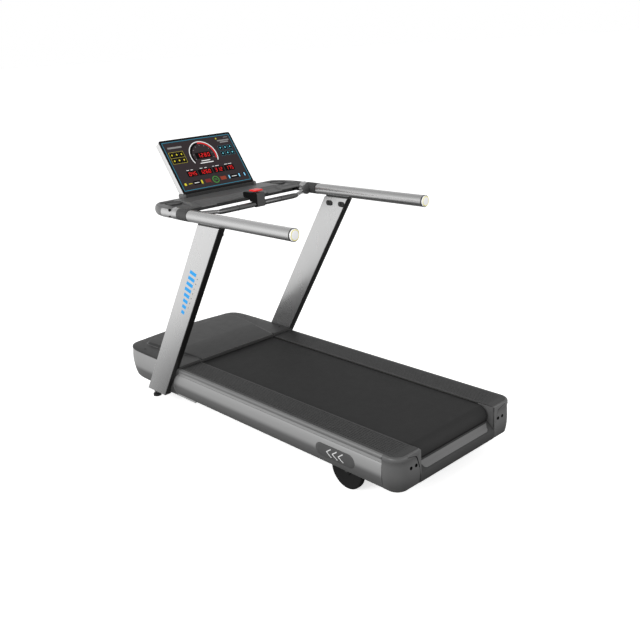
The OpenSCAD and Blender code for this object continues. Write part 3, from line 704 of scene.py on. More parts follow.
def build_cap_shells():
    """Rounded hollow shells with round holes for the adjusters and the roller shaft."""
    top = DECK_TOP
    levels = [(SKIRT_Z, 11.5), (SKIRT_Z + 2, 10), (112, 8), (128, 5), (146, 2.8), (165, 1.8), (190, 1.6),
              (225, 2.4), (247, 3.4), (249, 2.6), (250.5, 0.6), (252, 0), (264, 0)]
    levels += [(top - 12 + 12 * math.sin(math.radians(a)), 12 - 12 * math.cos(math.radians(a)))
               for a in (15, 30, 45, 60, 75, 90)]
    levels += [(top, 12.7), (top - 2.4, 13.2)]
    rings = [[(x, y, z) for x, y in cap_plan(g)] for z, g in levels]
    cap = loft("right_cap_shell", rings, cap_panel)
    inside = [[(x, y, z) for x, y in cap_plan(g, 4)] for z, g in
              [(SKIRT_Z - 5, 15), (128, 9), (165, 6), (240, 7), (top - 12, 6), (top - 5, 14)]]
    room = loft("cap_room", inside, cap_panel)
    hole = [(HOLE_R, -10), (HOLE_R, 25)]
    holes = [lathe("hole", hole, (x, REAR_Y, BOLT_Z), "y", cap_panel, 24) for x in BOLT_XS]
    shaft = lathe("shaft_hole", [(11, -5), (11, 20)], (OPENING, ROLLER_Y, ROLLER_Z), "x", cap_panel, 32)
    scoop = lathe("scoop", [(58, -5), (58, 2.5)], (OPENING, ROLLER_Y, ROLLER_Z), "x", cap_panel, 48)
    cut(cap, room, *holes, shaft, scoop)
    fit_cap(cap, 28)


def build_cap_borders():
    """Raised border of the rear face, its top plate and groove, and a block behind the sill's end."""
    top = DECK_TOP
    edge = [(OPENING, 146), (OPENING, top - 3), (OPENING + 3, top - 1), (367, top - 1.4), (369, top - 4),
            (367, top - 7), (345, 263), (322, 257), (311, 252), (305, 240), (298, 217), (290, 188),
            (284, 160), (282, 146)]
    fit_cap(prism("right_cap_border", edge, "y", REAR_Y - 0.6, REAR_Y + 8, cap_plastic))
    top_plate = [(OPENING + 0.3, REAR_Y + 44.2), (OPENING + 0.3, REAR_Y + 13.6)]
    top_plate += arc(HALF_W - 65, REAR_Y + 65, 51.4, -90, -23.8, 12)
    fit_cap(prism("right_cap_top", top_plate, "z", top - 4, top, rail_plastic))

    filler = [(REAR_Y + 13, SKIRT_Z + 4), (REAR_Y + 6, 128), (REAR_Y + 5, 150), (REAR_Y + 30, 150),
              (REAR_Y + 30, SKIRT_Z + 4)]
    fit_cap(prism("right_cap_filler", filler, "x", OPENING - 6, OPENING + 24, cap_panel))

    seam = [(368, 266), (345, 261.5), (322, 255.5), (310, 250), (303.5, 239), (297, 216), (290, 190)]
    band = seam + [(x + 2.0, z - 1.6) for x, z in reversed(seam)]
    fit_cap(prism("right_cap_groove", band, "y", REAR_Y - 0.2, REAR_Y + 7, black_and_shade))


def build_adjusters():
    """Two screw heads on each cap, in holes lined with black tubes that paint the shade inside them."""
    bolt_line = [(3, 1.6), (3, 0), (6.2, 0), (6.2, 8), (4, 8.1), (4, 50)]
    # painted shade: black tubes that line the adjuster holes and keep them dark inside
    shade_liner_r = HOLE_R - 0.05
    shade_liner_line = [(shade_liner_r, 1.2), (shade_liner_r, 20), (6, 20), (6, 19), (8, 18), (8, 1.2)]
    for number, x in enumerate(BOLT_XS, 1):
        bolt = lathe(f"right_adjuster_{number}", bolt_line, (x, REAR_Y + 9, BOLT_Z), "y", black_and_shade, 24)
        fit_pair(bolt, "bolt_steel", "adjuster_bolts")
        shade_liner = lathe(f"right_hole_liner_{number}", shade_liner_line, (x, REAR_Y, BOLT_Z), "y", black_and_shade, 24)
        fit_cap(shade_liner)


SILL_LIP = (REAR_Y + 43, 190)


def fit_sill(obj):
    """Fits a piece of the sill between the rear caps."""
    fit(obj, "rear_cover_plastic", "rear_cross_cover")


def build_cross_cover():
    """Sloped sill between the caps, and a thin black sheet under the rear roller that paints the shade
    beneath the belt.
    """
    y0, z0 = REAR_Y, SKIRT_Z
    lip_y, lip_z = SILL_LIP
    half = OPENING + 1.5
    outline = [(y0 + 10, z0), (y0 + 3, z0 + 10), (y0 + 0.6, z0 + 28), (y0 + 0.4, 140), (y0 + 1, 148),
               (y0 + 4, 152), (lip_y - 2, 189), (lip_y, lip_z), (lip_y + 4, lip_z), (lip_y + 4, lip_z - 3),
               (y0 + 8, 151), (y0 + 5, 146), (y0 + 5, z0 + 28), (y0 + 10, z0 + 5), (y0 + 30, z0 + 5),
               (y0 + 30, z0)]
    fit_sill(prism("rear_sill", outline, "x", -half, half, sill_body))
    # painted shade: a thin black arc under the rear roller that darkens the gap beneath the belt
    shade_sheet = arc(ROLLER_Y, ROLLER_Z, 50, 217, 300, 16) + arc(ROLLER_Y, ROLLER_Z, 51.2, 300, 217, 16)
    fit_sill(prism("roller_shade_sheet", shade_sheet, "x", 1 - OPENING, OPENING - 1, black_and_shade))


def build_sill_plate():
    """Thin plate on the sill's slope, its lower corners rounded."""
    foot = Vector((0, REAR_Y + 4, 152))
    slope = Vector((0, *SILL_LIP)) - foot
    along = slope.normalized()
    out = Vector((0, -along.z, along.y))
    reach = slope.length - 7
    half, corner = 262, 20
    shape = [(-half, reach)] + arc(corner + 16 - half, 28, corner, 180, 270, 10)
    shape += arc(half - corner - 16, 28, corner, -90, 0, 10) + [(half, reach)]
    rings = []
    for lift, inset in ((0.2, 0), (1.6, 0), (2.2, 0.8)):
        ring = []
        for x, s in shape:
            place = foot + along * min(s, reach - inset) + out * lift
            ring.append((x * (1 - inset / half), place.y, place.z))
        rings.append(ring)
    fit_sill(loft("sill_plate", rings, sill_metal))


# ---- front housing ----

BOW_R = 2100          # radius of the front's shallow bow
CORNER_RUN = 250      # length of the rounded front corners along the side
CORNER_REACH = 122    # and across the front
CORNER_POWER = 3.3    # 2 is an ellipse, more is squarer


def front_outline(g, side_y):
    """Plan of the front housing from its right side round to its left, pulled in by g."""
    steps = 22
    x, nose = HALF_W - g, FRONT_Y - g
    half = x - CORNER_REACH
    depth = CORNER_RUN - half ** 2 / (2 * BOW_R)
    right = [(x, side_y), (x, side_y + (nose - 300 - side_y) * 0.5), (x, nose - CORNER_RUN)]
    for i in range(1, steps + 1):
        a = math.radians(90 * i / steps)
        right.append((half + CORNER_REACH * math.cos(a) ** (2 / CORNER_POWER),
                      nose - CORNER_RUN + depth * math.sin(a) ** (2 / CORNER_POWER)))
    places = [half - 2 * half * i / 24 for i in range(1, 24)]
    bow = [(px, nose - px * px / (2 * BOW_R)) for px in places]
    return right + bow + [(-px, py) for px, py in reversed(right)]


PLATEAU_SIDE = 347
# half the plateau's width at each y
PLATEAU_HALF = [(521, 282), (600, 294), (744, 316), (900, 343), (970, PLATEAU_SIDE), (1060, PLATEAU_SIDE)]
PLATEAU_FRONT = 1064
PLATEAU_TOP = 306
PLATEAU_R = 62
HOOD_FOOT = 277
NOTCH_X = 280         # small dips in the hood's rear edge
# section of a raised line, as (across, up)
BEAD = ((-1.6, -1), (-1.2, 0.5), (0, 0.9), (1.2, 0.5), (1.6, -1))


def hood_height(x, y):
    """Height of the hood's upper face, with its raised plateau."""
    shelf = 288.5 - 5.0 * clamp((abs(x) - 380) / 60) ** 2 + 2.0 * clamp(1 - abs(x) / 430)
    shelf -= 3.5 * clamp((y - 1060) / 95) ** 2
    half, r = table(PLATEAU_HALF, y), PLATEAU_R
    qx, qy = abs(x) - (half - r), y - (PLATEAU_FRONT - r)
    outside = math.hypot(max(qx, 0), max(qy, 0)) + min(max(qx, qy), 0) - r
    rise = PLATEAU_TOP - shelf
    lift = ease(-outside / 20)
    rear = 1 - (1 - clamp((y - HOOD_Y) / 235)) ** 1.3
    level = shelf + rise * rear * (0.88 * lift + 0.12 * ease(-outside / 160))
    level -= 6 * (1 - clamp((y - HOOD_Y) / 9)) ** 2
    notch = math.exp(-((abs(x) - NOTCH_X) / 5) ** 2) * (1 - ease((y - HOOD_Y) / 24))
    return level - 9 * notch


def outward(points, loop, centre):
    """Level directions away from centre, square to a line of numbered points."""
    found = []
    for k, index in enumerate(loop):
        along = Vector(points[loop[min(k + 1, len(loop) - 1)]]) - Vector(points[loop[max(k - 1, 0)]])
        normal = Vector((along.y, -along.x, 0)).normalized()
        facing = 1 if normal.dot(Vector(points[index]) - centre) >= 0 else -1
        found.append(normal * facing)
    return found


def hood_shell():
    """Upper face as a grid, rolled over at its edges, with a short wall at the rear."""
    columns, rows = 140, 130
    inset = 9.0
    half = HALF_W - inset
    rim = front_outline(inset, HOOD_Y)
    xs = crowded(half, columns, 0.5)
    xs = sorted(set(xs + [s * v for s in (-1, 1) for v in range(NOTCH_X - 7, NOTCH_X + 6, 3)]))
    points = []
    for j in range(rows + 1):
        share = 0.35 * (j / rows) ** 2 + 0.65 * j / rows
        for x in xs:
            y = HOOD_Y + (front_reach(rim, x, HOOD_Y + 80) - HOOD_Y) * share
            points.append((x, y, hood_height(x, y)))
    n = len(xs)
    faces = grid_faces(n, rows)
    loop = [j * n + n - 1 for j in range(rows)] + [rows * n + i for i in range(n - 1, -1, -1)]
    loop += [j * n for j in range(rows - 1, -1, -1)]
    normals = outward(points, loop, Vector((0, 760, 0)))
    edge = loop
    for out, drop in ((3.2, 0.6), (5.8, 2.4), (7.4, 5.0), (8.0, 8.0)):
        places = []
        for index, normal in zip(loop, normals):
            x, y, z = points[index]
            places.append((x + normal.x * out, y + normal.y * out, max(z - drop, HOOD_FOOT + 0.5)))
        edge = grow(points, faces, edge, places)
    grow(points, faces, edge, [(*points[index][:2], HOOD_FOOT) for index in edge])
    rear = [(x, y, 272 if abs(x) < NOTCH_X - 2 else HOOD_FOOT - 0.5) for x, y, z in points[:n]]
    grow(points, faces, list(range(n)), rear)
    return thicken(make("hood_shell", points, faces, hood_plastic), 2.5)


def build_hood():
    """The hood with slots for the uprights."""
    hood = hood_shell()
    slots = [prism("slot", slanted(265, 320, POST_WIDTH + 3, -3), "x",
                   *sorted((s * (POST_LOW.x - 1.5), s * 480)), hood_plastic) for s in (-1, 1)]
    cut(hood, *slots)
    fit(hood, "hood_plastic", "motor_hood", angle=26)


def build_hood_beads():
    """Fine raised lines round the plateau and along the hood's rear edge, in a paler grey that paints the
    highlight along those edges.
    """
    edge = [(table(PLATEAU_HALF, y) - 5, y) for y in range(530, 1000, 18)]
    edge += arc(PLATEAU_SIDE - PLATEAU_R, PLATEAU_FRONT - PLATEAU_R, PLATEAU_R - 5, 0, 90, 10)
    edge += [(-x, y) for x, y in reversed(edge)]
    crease = []
    for i, (x, y) in enumerate(edge):
        before, after = edge[max(i - 1, 0)], edge[min(i + 1, len(edge) - 1)]
        size = math.dist(before, after)
        nx, ny = (after[1] - before[1]) / size, (before[0] - after[0]) / size
        crease.append([(x + nx * side, y + ny * side, up) for side, up in BEAD])
    rear = [[(x, HOOD_Y + 6 + side, up) for side, up in BEAD] for x in range(-270, 271, 15)]
    for name, rings in (("hood_crease", crease), ("hood_rear_bead", rear)):
        rings = [[(x, y, hood_height(x, y) + up) for x, y, up in ring] for ring in rings]
        fit(loft(name, rings, crease_highlight), "hood_plastic")


def build_hood_marks():
    """Four small slanted marks and four screws on the hood."""
    marks = []
    for k in range(4):
        y = 778 + k * 22
        z = hood_height(105, y + 8)
        marks.append(prism("mark", [(98, y), (104, y), (112, y + 15), (106, y + 15)], "z", z - 1, z + 0.5,
                           hood_plastic))
    fit(join("hood_marks", marks), "hood_plastic")
    profile = [(6, -2), (6, 0.9), (5.4, 1.5), (3.2, 1.6), (3.0, 0.4), (0, 0.3)]
    for s, side in SIDES:
        for number, y in enumerate((600, 960), 1):
            screw = lathe(f"{side}_hood_screw_{number}", profile, (s * 395, y, hood_height(395, y)), "z",
                          black_plastic, 24)
            fit(screw, "bolt_steel", "hood_screws")


def build_shroud():
    """The wall round the motor, with slots for the uprights and a window for the power panel."""
    levels = [(100, 14.5), (103, 12.8), (110, 10.8), (120, 8.6), (130, 6.8), (140, 5.2), (155, 3.4),
              (170, 1.9), (188, 0.7), (205, 0), (225, 0.5), (250, 2.6), (268, 4.8), (273, 6.5), (275.5, 9)]
    rings = [[(x, y, z) for x, y in front_outline(g, 600)] for z, g in levels]
    wall = loft("shroud_wall", rings, panel_metal, closed=False, ends=False)
    thicken(wall, 3)
    slots = []
    for s in (-1, 1):
        outline = [(500, 90), (post_y(90) + POST_WIDTH + 1.5, 90), (post_y(300) + POST_WIDTH + 1.5, 300),
                   (500, 300)]
        slots.append(prism("slot", outline, "x", *sorted((s * 380, s * 480)), panel_metal))
    window = prism("window", rounded(60.5, 169.5, 220.5, 6), "y", FRONT_Y - 60, FRONT_Y + 10, panel_metal)
    cut(wall, *slots, window)
    fit(wall, "side_panel_metal", "front_shroud", angle=26)


# the boots' rear edge, as (height, y)
BOOT_EDGE = [(96, 600), (110, 604), (130, 608), (150, 607), (170, 602), (190, 594), (205, 587), (218, 576),
             (230, 560), (242, 548), (254, 537), (268, 525), (278, 518)]


def build_boots():
    """Moulded fillet between each upright's foot and the side panel."""
    rings = []
    low, high = 94, 276
    for k in range(31):
        z = low + (high - low) * k / 30
        start = table(BOOT_EDGE, z)
        stop = post_y(z) + 12
        face = panel_face(z) if z <= SKIN_TOP else HALF_W - 1 - 6 * ease((z - 262) / 14)
        ring = []
        for u in range(11):
            f = u / 10
            y = start + (stop - start) * f
            x = face + 2.4 * ease(f * 6) + 14 * f ** 2.2
            ring.append((x, y, z))
        ring += [(face - 6, stop, z), (face - 6, start + 0.5, z)]
        rings.append(ring)
    boot = loft("right_boot", rings, boot_plastic)
    fit_pair(boot, "boot_plastic", "upright_boots", angle=40)


def build_boot_lines():
    """Pale raised lines along the boots' rear edges."""
    rings = []
    low, high = 104, 262
    for k in range(27):
        z = low + (high - low) * k / 26
        y = table(BOOT_EDGE, z)
        x = panel_face(min(z, SKIN_TOP))
        rings.append([(x - 1, y - 3.5, z), (x + 1.6, y - 3, z), (x + 1.6, y + 0.5, z), (x - 1, y + 1, z)])
    line = loft("right_boot_line", rings, line_plastic)
    fit_pair(line, "boot_plastic", "upright_boots", angle=40)


# ---- uprights ----

def build_uprights():
    """Leaning posts with a ribbed black strip along the rear edge."""
    x0, x1 = POST_LOW.x, POST_HIGH.x
    body = prism("right_post", slanted(POST_FOOT_Z, POST_TOP_Z, POST_WIDTH, 4.5), "x", x0, x1,
                 post_silver, 2.2, 3)
    fit_pair(body, "upright_aluminium", "right_upright")
    strip = prism("right_post_strip", slanted(POST_FOOT_Z + 1, POST_TOP_Z - 1, 5.5, -0.6), "x",
                  x0 + 0.6, x1 - 0.6, black_plastic, 1.6, 3)
    fit_pair(strip, "upright_strip", "upright_strips")
    ribs = []
    for x in (x0 + 9, x0 + 20, x0 + 31):
        ribs.append(prism("rib", slanted(POST_FOOT_Z + 4, POST_TOP_Z - 4, 0.5, -1.1), "x", x - 0.8, x + 0.8,
                          black_plastic))
    fit_pair(join("right_post_ribs", ribs), "upright_strip")


def build_upright_bolts():
    """Two pairs of cap screws under the console and four hexagon heads at each foot."""
    x, z, half = POST_LOW.x, 1144, 11
    screw = [(8.5, 0), (8.5, -3.4), (7.6, -4.4), (4.2, -4.5), (4.0, -2.0), (0, -1.9)]
    for index, y in enumerate((0, 98), 1):
        plate = arc(y - half, z, 15, 90, 270, 14) + arc(y + half, z, 15, -90, 90, 14)
        seat = prism(f"right_bolt_seat_{index}", plate, "x", x - 2.6, x + 0.4, black_plastic, 0.8)
        fit_pair(seat, "bolt_steel", "upright_bolts")
        for number, shift in enumerate((-half, half), 1):
            bolt = lathe(f"right_top_bolt_{index}_{number}", screw, (x - 2.4, y + shift, z), "x",
                         chassis_paint, 28)
            fit_pair(bolt, "bolt_steel", "upright_bolts")
    head = [(6, 20), (6, -5), (10, -5.1), (10, -12.5), (8.8, -14), (0, -14)]
    for index, (y, z) in enumerate(((660, 170), (715, 170), (660, 220), (715, 220)), 1):
        bolt = lathe(f"right_foot_bolt_{index}", head, (x, y, z), "x", steel, 6)
        fit_pair(bolt, "bolt_steel", "upright_bolts")


def build_upright_print():
    """Blue slanted bars and small grey ticks on the outer faces."""
    x = POST_HIGH.x
    bars = []
    shares = [(0.0, 0.5), (0.13, 0.62), (0.26, 0.74), (0.39, 0.86), (0.52, 1.0), (0.65, 1.0), (0.78, 1.0),
              (0.91, 1.0)]
    thick, near = 19, 66
    for start, reach in shares:
        z0 = 652 + 262 * start
        far = near + 62 * reach
        rise = 16 * reach
        bars.append(prism("bar", [(post_y(z0) + near, z0), (post_y(z0 + rise) + far, z0 + rise),
                                  (post_y(z0 + rise + thick) + far, z0 + rise + thick),
                                  (post_y(z0 + thick) + near, z0 + thick)], "x", x - 0.2, x + 0.35,
                          blue_print))
    fit_pair(join("right_post_bars", bars), "upright_aluminium")
    ticks = []
    for k in range(7):
        z0 = 698 + 30 * k
        ticks.append(prism("tick", slanted(z0, z0 + 7, 50, 43), "x", x - 0.2, x + 0.3, grey_print))
    fit_pair(join("right_post_ticks", ticks), "upright_aluminium")


# ---- handrails ----

def fit_round(name, profile, y, material, slot, node):
    """A pair of turned pieces round the handrails' middle lines, measured from y."""
    fit_pair(lathe(name, profile, (RAIL_X, y, RAIL_Z), "y", material, 64), slot, node)


def build_handrail_tubes():
    """Plain round tubes, open at both ends."""
    low, high, r = TUBE_LOW.y, TUBE_HIGH.y, TUBE_R
    tube = [(r - 3, low), (r - 0.8, low), (r, low + 0.8), (r, high), (r - 3, high)]
    fit_round("right_rail_tube", tube, 0, silver, "handrail_tube", "right_handrail")


def build_handrail_ends():
    """Black collar, white stopper, yellow ring and domed cap at the rear ends."""
    r = TUBE_R
    dome = [(r - 9, -9)]
    for a in range(0, 91, 9):
        dome.append(((r - 9) * math.cos(math.radians(a)), -11.8 - 2.2 * math.sin(math.radians(a))))
    for name, profile, material in (
            ("right_rail_collar", [(r - 8, 0), (r + 0.3, 0), (r + 0.9, -0.6), (r + 0.9, -5.4),
                                   (r + 0.3, -6), (r - 8, -6)], black_plastic),
            ("right_cap_skirt", [(r - 9, -5.9), (r - 1.4, -5.9), (r - 1.6, -7), (r - 5.0, -11),
                                 (r - 9, -11)], white_plastic),
            ("right_cap_ring", [(r - 9.5, -9), (r - 5.0, -10.8), (r - 5.6, -12), (r - 7, -12.6),
                                (r - 8.4, -12.4), (r - 9.5, -11.6)], yellow_ring),
            ("right_cap_dome", dome, white_plastic)):
        fit_round(name, profile, TUBE_LOW.y, material, "handrail_cap", "handrail_ends")


def build_sleeves():
    """Ribbed sleeves between the tubes and the console, with the stubs in front of them."""
    y, r = TUBE_HIGH.y, TUBE_R
    ring = [(r - 2, 0), (r + 0.6, 0), (r + 1.4, 1), (r + 1.4, 6), (r + 0.6, 7), (r - 2, 7)]
    fit_round("right_sleeve_ring", ring, y, black_plastic, "sleeve_plastic", "handrail_sleeves")
    profile = [(r - 3, 7)]
    for k in range(27):
        a = 7.5 + k * 3.15
        profile += [(r + 0.5, a), (r + 0.5, a + 2.2), (r + 0.1, a + 2.6), (r + 0.1, a + 2.9)]
    profile.append((r - 3, 93))
    fit_round("right_sleeve", profile, y, sleeve_rubber, "sleeve_plastic", "handrail_sleeves")
    stub = [(r - 4, 92), (r - 0.6, 92.5), (r - 0.2, 93.5), (r - 0.2, 141)]
    fit_round("right_elbow_stub", stub, y, silver, "elbow_metal", "handrail_sleeves")


def build_saddles():
    """Blocks that carry the handrails on the uprights."""
    low, high = span("handrail_saddles")
    top = RAIL_Z - 16
    profile = [(low.y, POST_TOP_Z), (high.y, POST_TOP_Z), (high.y - 8, top), (low.y + 8, top)]
    saddle = prism("right_saddle", profile, "x", 437, 467, black_plastic)
    tube_room = lathe("room", [(TUBE_R, -300), (TUBE_R, 300)], (RAIL_X, 0, RAIL_Z), "y", black_plastic, 64)
    cut(saddle, tube_room)
    fit_pair(saddle, "black_plastic", "handrail_saddles")


# ---- console base ----

BASE_HALF = 484
BASE_R = 260
BASE_BACK = BASE_LOW.y
BASE_FRONT = BASE_HIGH.y + 2.5
CUP_PLACE = (372, 486, 1201)


def base_top(y):
    """Height of the console base's upper face at y, before its slope and trays."""
    return BASE_HIGH.z - 0.204 * max(0.0, y - 575)


def base_plan(g, steps=20):
    """Plan of the console base from its right rear corner round to its left one, pulled in by g."""
    x, y, r = BASE_HALF - g, BASE_FRONT - g, BASE_R - g
    return ([(x, BASE_BACK)] + [(x, BASE_BACK + (y - r - BASE_BACK) * k / 4) for k in (1, 2, 3)]
            + arc(x - r, y - r, r, 0, 90, steps)
            + [((x - r) * (1 - 2 * k / 8), y) for k in range(1, 8)]
            + arc(-x + r, y - r, r, 90, 180, steps)
            + [(-x, BASE_BACK + (y - r - BASE_BACK) * k / 4) for k in (3, 2, 1)] + [(-x, BASE_BACK)])


def wall_point(y, angle):
    """Height on the rounded outer wall: angle -90 is its foot, 90 its top."""
    top = base_top(y)
    foot = BASE_LOW.z
    return foot + (top - foot) * (1 + math.sin(math.radians(angle))) / 2


def wall_inset(angle):
    """How far the rounded wall stands in from its fullest line."""
    return 24 * (1 - math.cos(math.radians(angle)))


def top_height(x, y):
    """Upper face of the console base, with its rear slope and shallow trays."""
    level = base_top(y)
    level -= 15 * (1 - ease((y - BASE_BACK + 6) / 84)) ** 1.1
    step = 3.0 * (1 - ease((y - 400) / 3))
    tray = ease((abs(x) - 176) / 8) * ease((292 - abs(x)) / 8) * ease((428 - y) / 16)
    side = ease((abs(x) - 318) / 8) * ease((428 - abs(x)) / 8) * ease((y - 366) / 8) * ease((566 - y) / 10)
    return level - step - 7 * tray - 9 * side * ease((abs(x) - 318) / 8)


def build_console_rim():
    """Rounded outer wall round the sides and the front."""
    rings = []
    for angle in (-90, -70, -50, -30, -10, 0, 15, 30, 45, 60, 75, 90):
        inset = wall_inset(angle) + 1.2
        rings.append([(x, y, wall_point(y, angle)) for x, y in base_plan(inset)])
    shell = loft("console_rim", rings, console_plastic, closed=False, ends=False)
    thicken(shell, 2.5)
    fit(shell, "console_plastic", "console_base", angle=40)


def build_console_deck():
    """Upper face as a grid, with its slope, trays and two cup wells."""
    inset = wall_inset(90) + 0.4
    rim = base_plan(inset, 40)
    half = BASE_HALF - inset
    columns, rows = 132, 72
    points = []
    xs = crowded(half, columns, 0.35)
    for j in range(rows + 1):
        for x in xs:
            front = front_reach(rim, x, BASE_BACK + 10)
            y = BASE_BACK + (front - BASE_BACK) * j / rows
            edge = clamp((half - abs(x)) / 14) * clamp((front - y) / 10)
            points.append((x, y, base_top(y) + (top_height(x, y) - base_top(y)) * ease(edge)))
    faces = grid_faces(len(xs), rows)
    grow(points, faces, list(range(len(xs))), [(x, y + 1.5, 1219.5) for x, y, z in points[:len(xs)]])
    deck = make("console_deck", points, faces, console_plastic)
    thicken(deck, 2.5)
    x, y, z = CUP_PLACE
    wells = [lathe("well", [(44, -10), (44, 60)], (s * x, y, z), "z", console_plastic, 64) for s in (-1, 1)]
    cut(deck, *wells)
    fit(deck, "console_plastic", "console_base", angle=40)

    profile = [(46.5, 39), (46.2, 41.6), (44.2, 41.6), (43.8, 39), (43.2, 6), (40, 1.5), (10, 1), (0, 1),
               (0, -1.5), (42, -1.5), (45.5, 4), (46, 36)]
    cup = lathe("right_cup_well", profile, CUP_PLACE, "z", tray_plastic, 64)
    fit_pair(cup, "console_plastic", "console_base")


def build_console_underside():
    """Flat pan under the console and the wall at its rear edge."""
    floor_y = 403
    half = BASE_HALF - 30
    pan = [(half, floor_y)] + [p for p in base_plan(30) if p[1] > floor_y] + [(-half, floor_y)]
    under = prism("console_underside", pan, "z", BASE_LOW.z + 3, BASE_LOW.z + 9, black_plastic, 1.0)
    fit(under, "black_plastic", "console_base")
    wall = prism("console_inner_wall", bar(-421, 421, floor_y, floor_y + 3), "z", BASE_LOW.z + 4, 1226,
                 black_plastic)
    fit(wall, "black_plastic", "console_base")


def build_elbow_bands():
    """Metal bands from the handrails round the console's corners, with two black slits; the part round each
    corner is painted darker, standing in for its shade.
    """
    # the corner part gets the darker copy of the metal: painted shade where the band turns away from the
    # light
    for part, first, last, material in (("band", 0, 6, silver), ("corner", 5, 24, shaded_band_metal)):
        rings = []
        for angle in range(-48, 53, 10):
            shape = [p for p in base_plan(wall_inset(angle)) if p[0] > 0][first:last]
            rings.append([(x, y, wall_point(y, angle)) for x, y in shape])
        band = loft(f"right_elbow_{part}", rings, material, closed=False, ends=False)
        thicken(band, 2, 0)
        fit_pair(band, "elbow_metal", "elbow_bands", angle=40)
    slots = []
    for z0, z1 in ((1226, 1240), (1197, 1206)):
        slots.append(prism("slit", bar(350, 368, z0, z1), "x", BASE_HALF - 9,
                           BASE_HALF - 1 + (1 if z0 < 1200 else 0), black_and_shade, 1.5))
    fit_pair(join("right_elbow_slits", slots), "black_plastic", "elbow_bands")


def build_cross_bar():
    """Bent bar arms with their sockets."""
    y, z, half = BAR_Y, BAR_Z, GRIP_HIGH.x
    bend = math.atan2(84, 422 - half)
    path = [(0, y, z), (half * 0.5, y, z), (half - 10, y, z)]
    for k in range(9):
        a = bend * k / 8
        path.append((half + 60 * math.sin(a), y + 60 * (1 - math.cos(a)), z + 3 * k / 8))
    end = path[-1]
    path.append((419, end[1] + (419 - end[0]) * math.tan(bend), z + 5))
    round_bar = arc(0, 0, 10.8, 0, 360, 28)[:-1]
    arm = sweep("right_bar_arm", path, round_bar, bar_metal)
    fit_pair(arm, "black_plastic", "cross_bar")
    tip = Vector(path[-1])
    along = (tip - Vector(path[-2])).normalized()
    side = along.cross(Vector((0, 0, 1)))
    rings = []
    for back, radius in ((67, 11), (66, 13), (50, 15.5), (32, 19.5), (14, 25), (2, 28.3), (0, 28)):
        centre = tip - along * back
        rings.append([centre + side * a + Vector((0, 0, b)) for a, b in arc(0, 0, radius, 0, 360, 32)[:-1]])
    socket = loft("right_bar_socket", rings, sleeve_rubber)
    fit_pair(socket, "black_plastic", "cross_bar")


def build_grips():
    """Pulse grips on the straight part of the bar, each with a thin seam."""
    half, r = GRIP_HIGH.x, (GRIP_HIGH.z - GRIP_LOW.z) / 2
    profile = [(11, 33), (13.5, 34), (r, 38), (r, half - 18), (r - 0.6, half - 6), (13, half + 8),
               (11.2, half + 16)]
    grip = lathe("right_grip", profile, (0, BAR_Y, BAR_Z), "x", grip_metal, 48)
    fit_pair(grip, "grip_steel", "pulse_grips")
    seam = lathe("right_grip_seam", [(r + 0.1, 148), (r + 0.5, 148.5), (r + 0.5, 151.5), (r + 0.1, 152)],
                 (0, BAR_Y, BAR_Z), "x", black_plastic, 48)
    fit_pair(seam, "black_plastic", "pulse_grips")


def build_stop_switch():
    """Housing on the cross bar, open for the bar and for the button's stem."""
    low, high = STOP_LOW, STOP_HIGH
    x = high.x
    stop_y = (PAD_LOW.y + PAD_HIGH.y) / 2
    outline = [(low.y + 3, low.z), (low.y, low.z + 4), (low.y, high.z - 7), (low.y + 6, high.z),
               (high.y - 4, high.z), (high.y, high.z - 4), (high.y, high.z - 23), (high.y - 6, high.z - 30),
               (250, high.z - 37), (246, 1214), (BAR_Y, 1214), (BAR_Y, 1194), (239, 1194), (240, 1190),
               (236, low.z)]
    body = prism("stop_body", outline, "x", -x + 9, x, stop_plastic, 1.4, 3)
    bore = lathe("bore", [(11, -60), (11, 60)], (0, BAR_Y, BAR_Z), "x", stop_plastic, 48)
    well = lathe("stem_room", [(12.2, -30), (12.2, 20)], (0, stop_y, high.z), "z", stop_plastic, 32)
    cut(body, bore, well)
    fit(body, "console_plastic", "estop_housing")
    cheek = prism("stop_cheek", outline, "x", -x, -x + 9.3, black_and_shade, 1.4, 3)
    bore = lathe("bore", [(11, -60), (11, 60)], (0, BAR_Y, BAR_Z), "x", black_plastic, 48)
    cut(cheek, bore)
    fit(cheek, "black_plastic", "estop_housing")


def build_stop_button():
    """Red push pad and its stem."""
    middle = (PAD_LOW + PAD_HIGH) / 2
    half_x, half_y = (PAD_HIGH.x - PAD_LOW.x) / 2, (PAD_HIGH.y - PAD_LOW.y) / 2
    rings = []
    for lift, g in ((-9, 2), (-8.4, 0.6), (-7.4, 0), (-2.6, 0), (-1.2, 0.5), (-0.4, 1.6), (0, 3.4), (0.0, 8)):
        ring = []
        for a, b in rounded(half_x - g, -half_y + g, half_y - g, 7):
            crown = -0.8 * (1 - clamp(g / 8)) if lift > -1 else 0
            ring.append((a, middle.y + b, PAD_HIGH.z + lift + crown))
        rings.append(ring)
    pad = loft("stop_pad", rings, red_plastic)
    fit(pad, "red_plastic", "estop_button", body="estop_button", angle=50)
    stem = lathe("stop_stem", [(12, -30), (12, -8)], (0, middle.y, PAD_HIGH.z), "z", black_plastic, 32)
    fit(stem, "red_plastic", "estop_button", body="estop_button")


# ---- screen ----

TILT = math.radians(35.8)
SIN_T, COS_T = math.sin(TILT), math.cos(TILT)
SCREEN_W = BEZEL_HIGH.x - BEZEL_LOW.x
SCREEN_H = (BEZEL_HIGH.z - BEZEL_LOW.z - 6 * SIN_T) / COS_T
FOOT_Y = BEZEL_LOW.y
FOOT_Z = BEZEL_HIGH.z - SCREEN_H * COS_T
SCREEN_T = 50


def face(u, v, w):
    """Place of a point u across, v up and w out of the screen's face."""
    return (u, FOOT_Y + v * SIN_T - w * COS_T, FOOT_Z + v * COS_T + w * SIN_T)


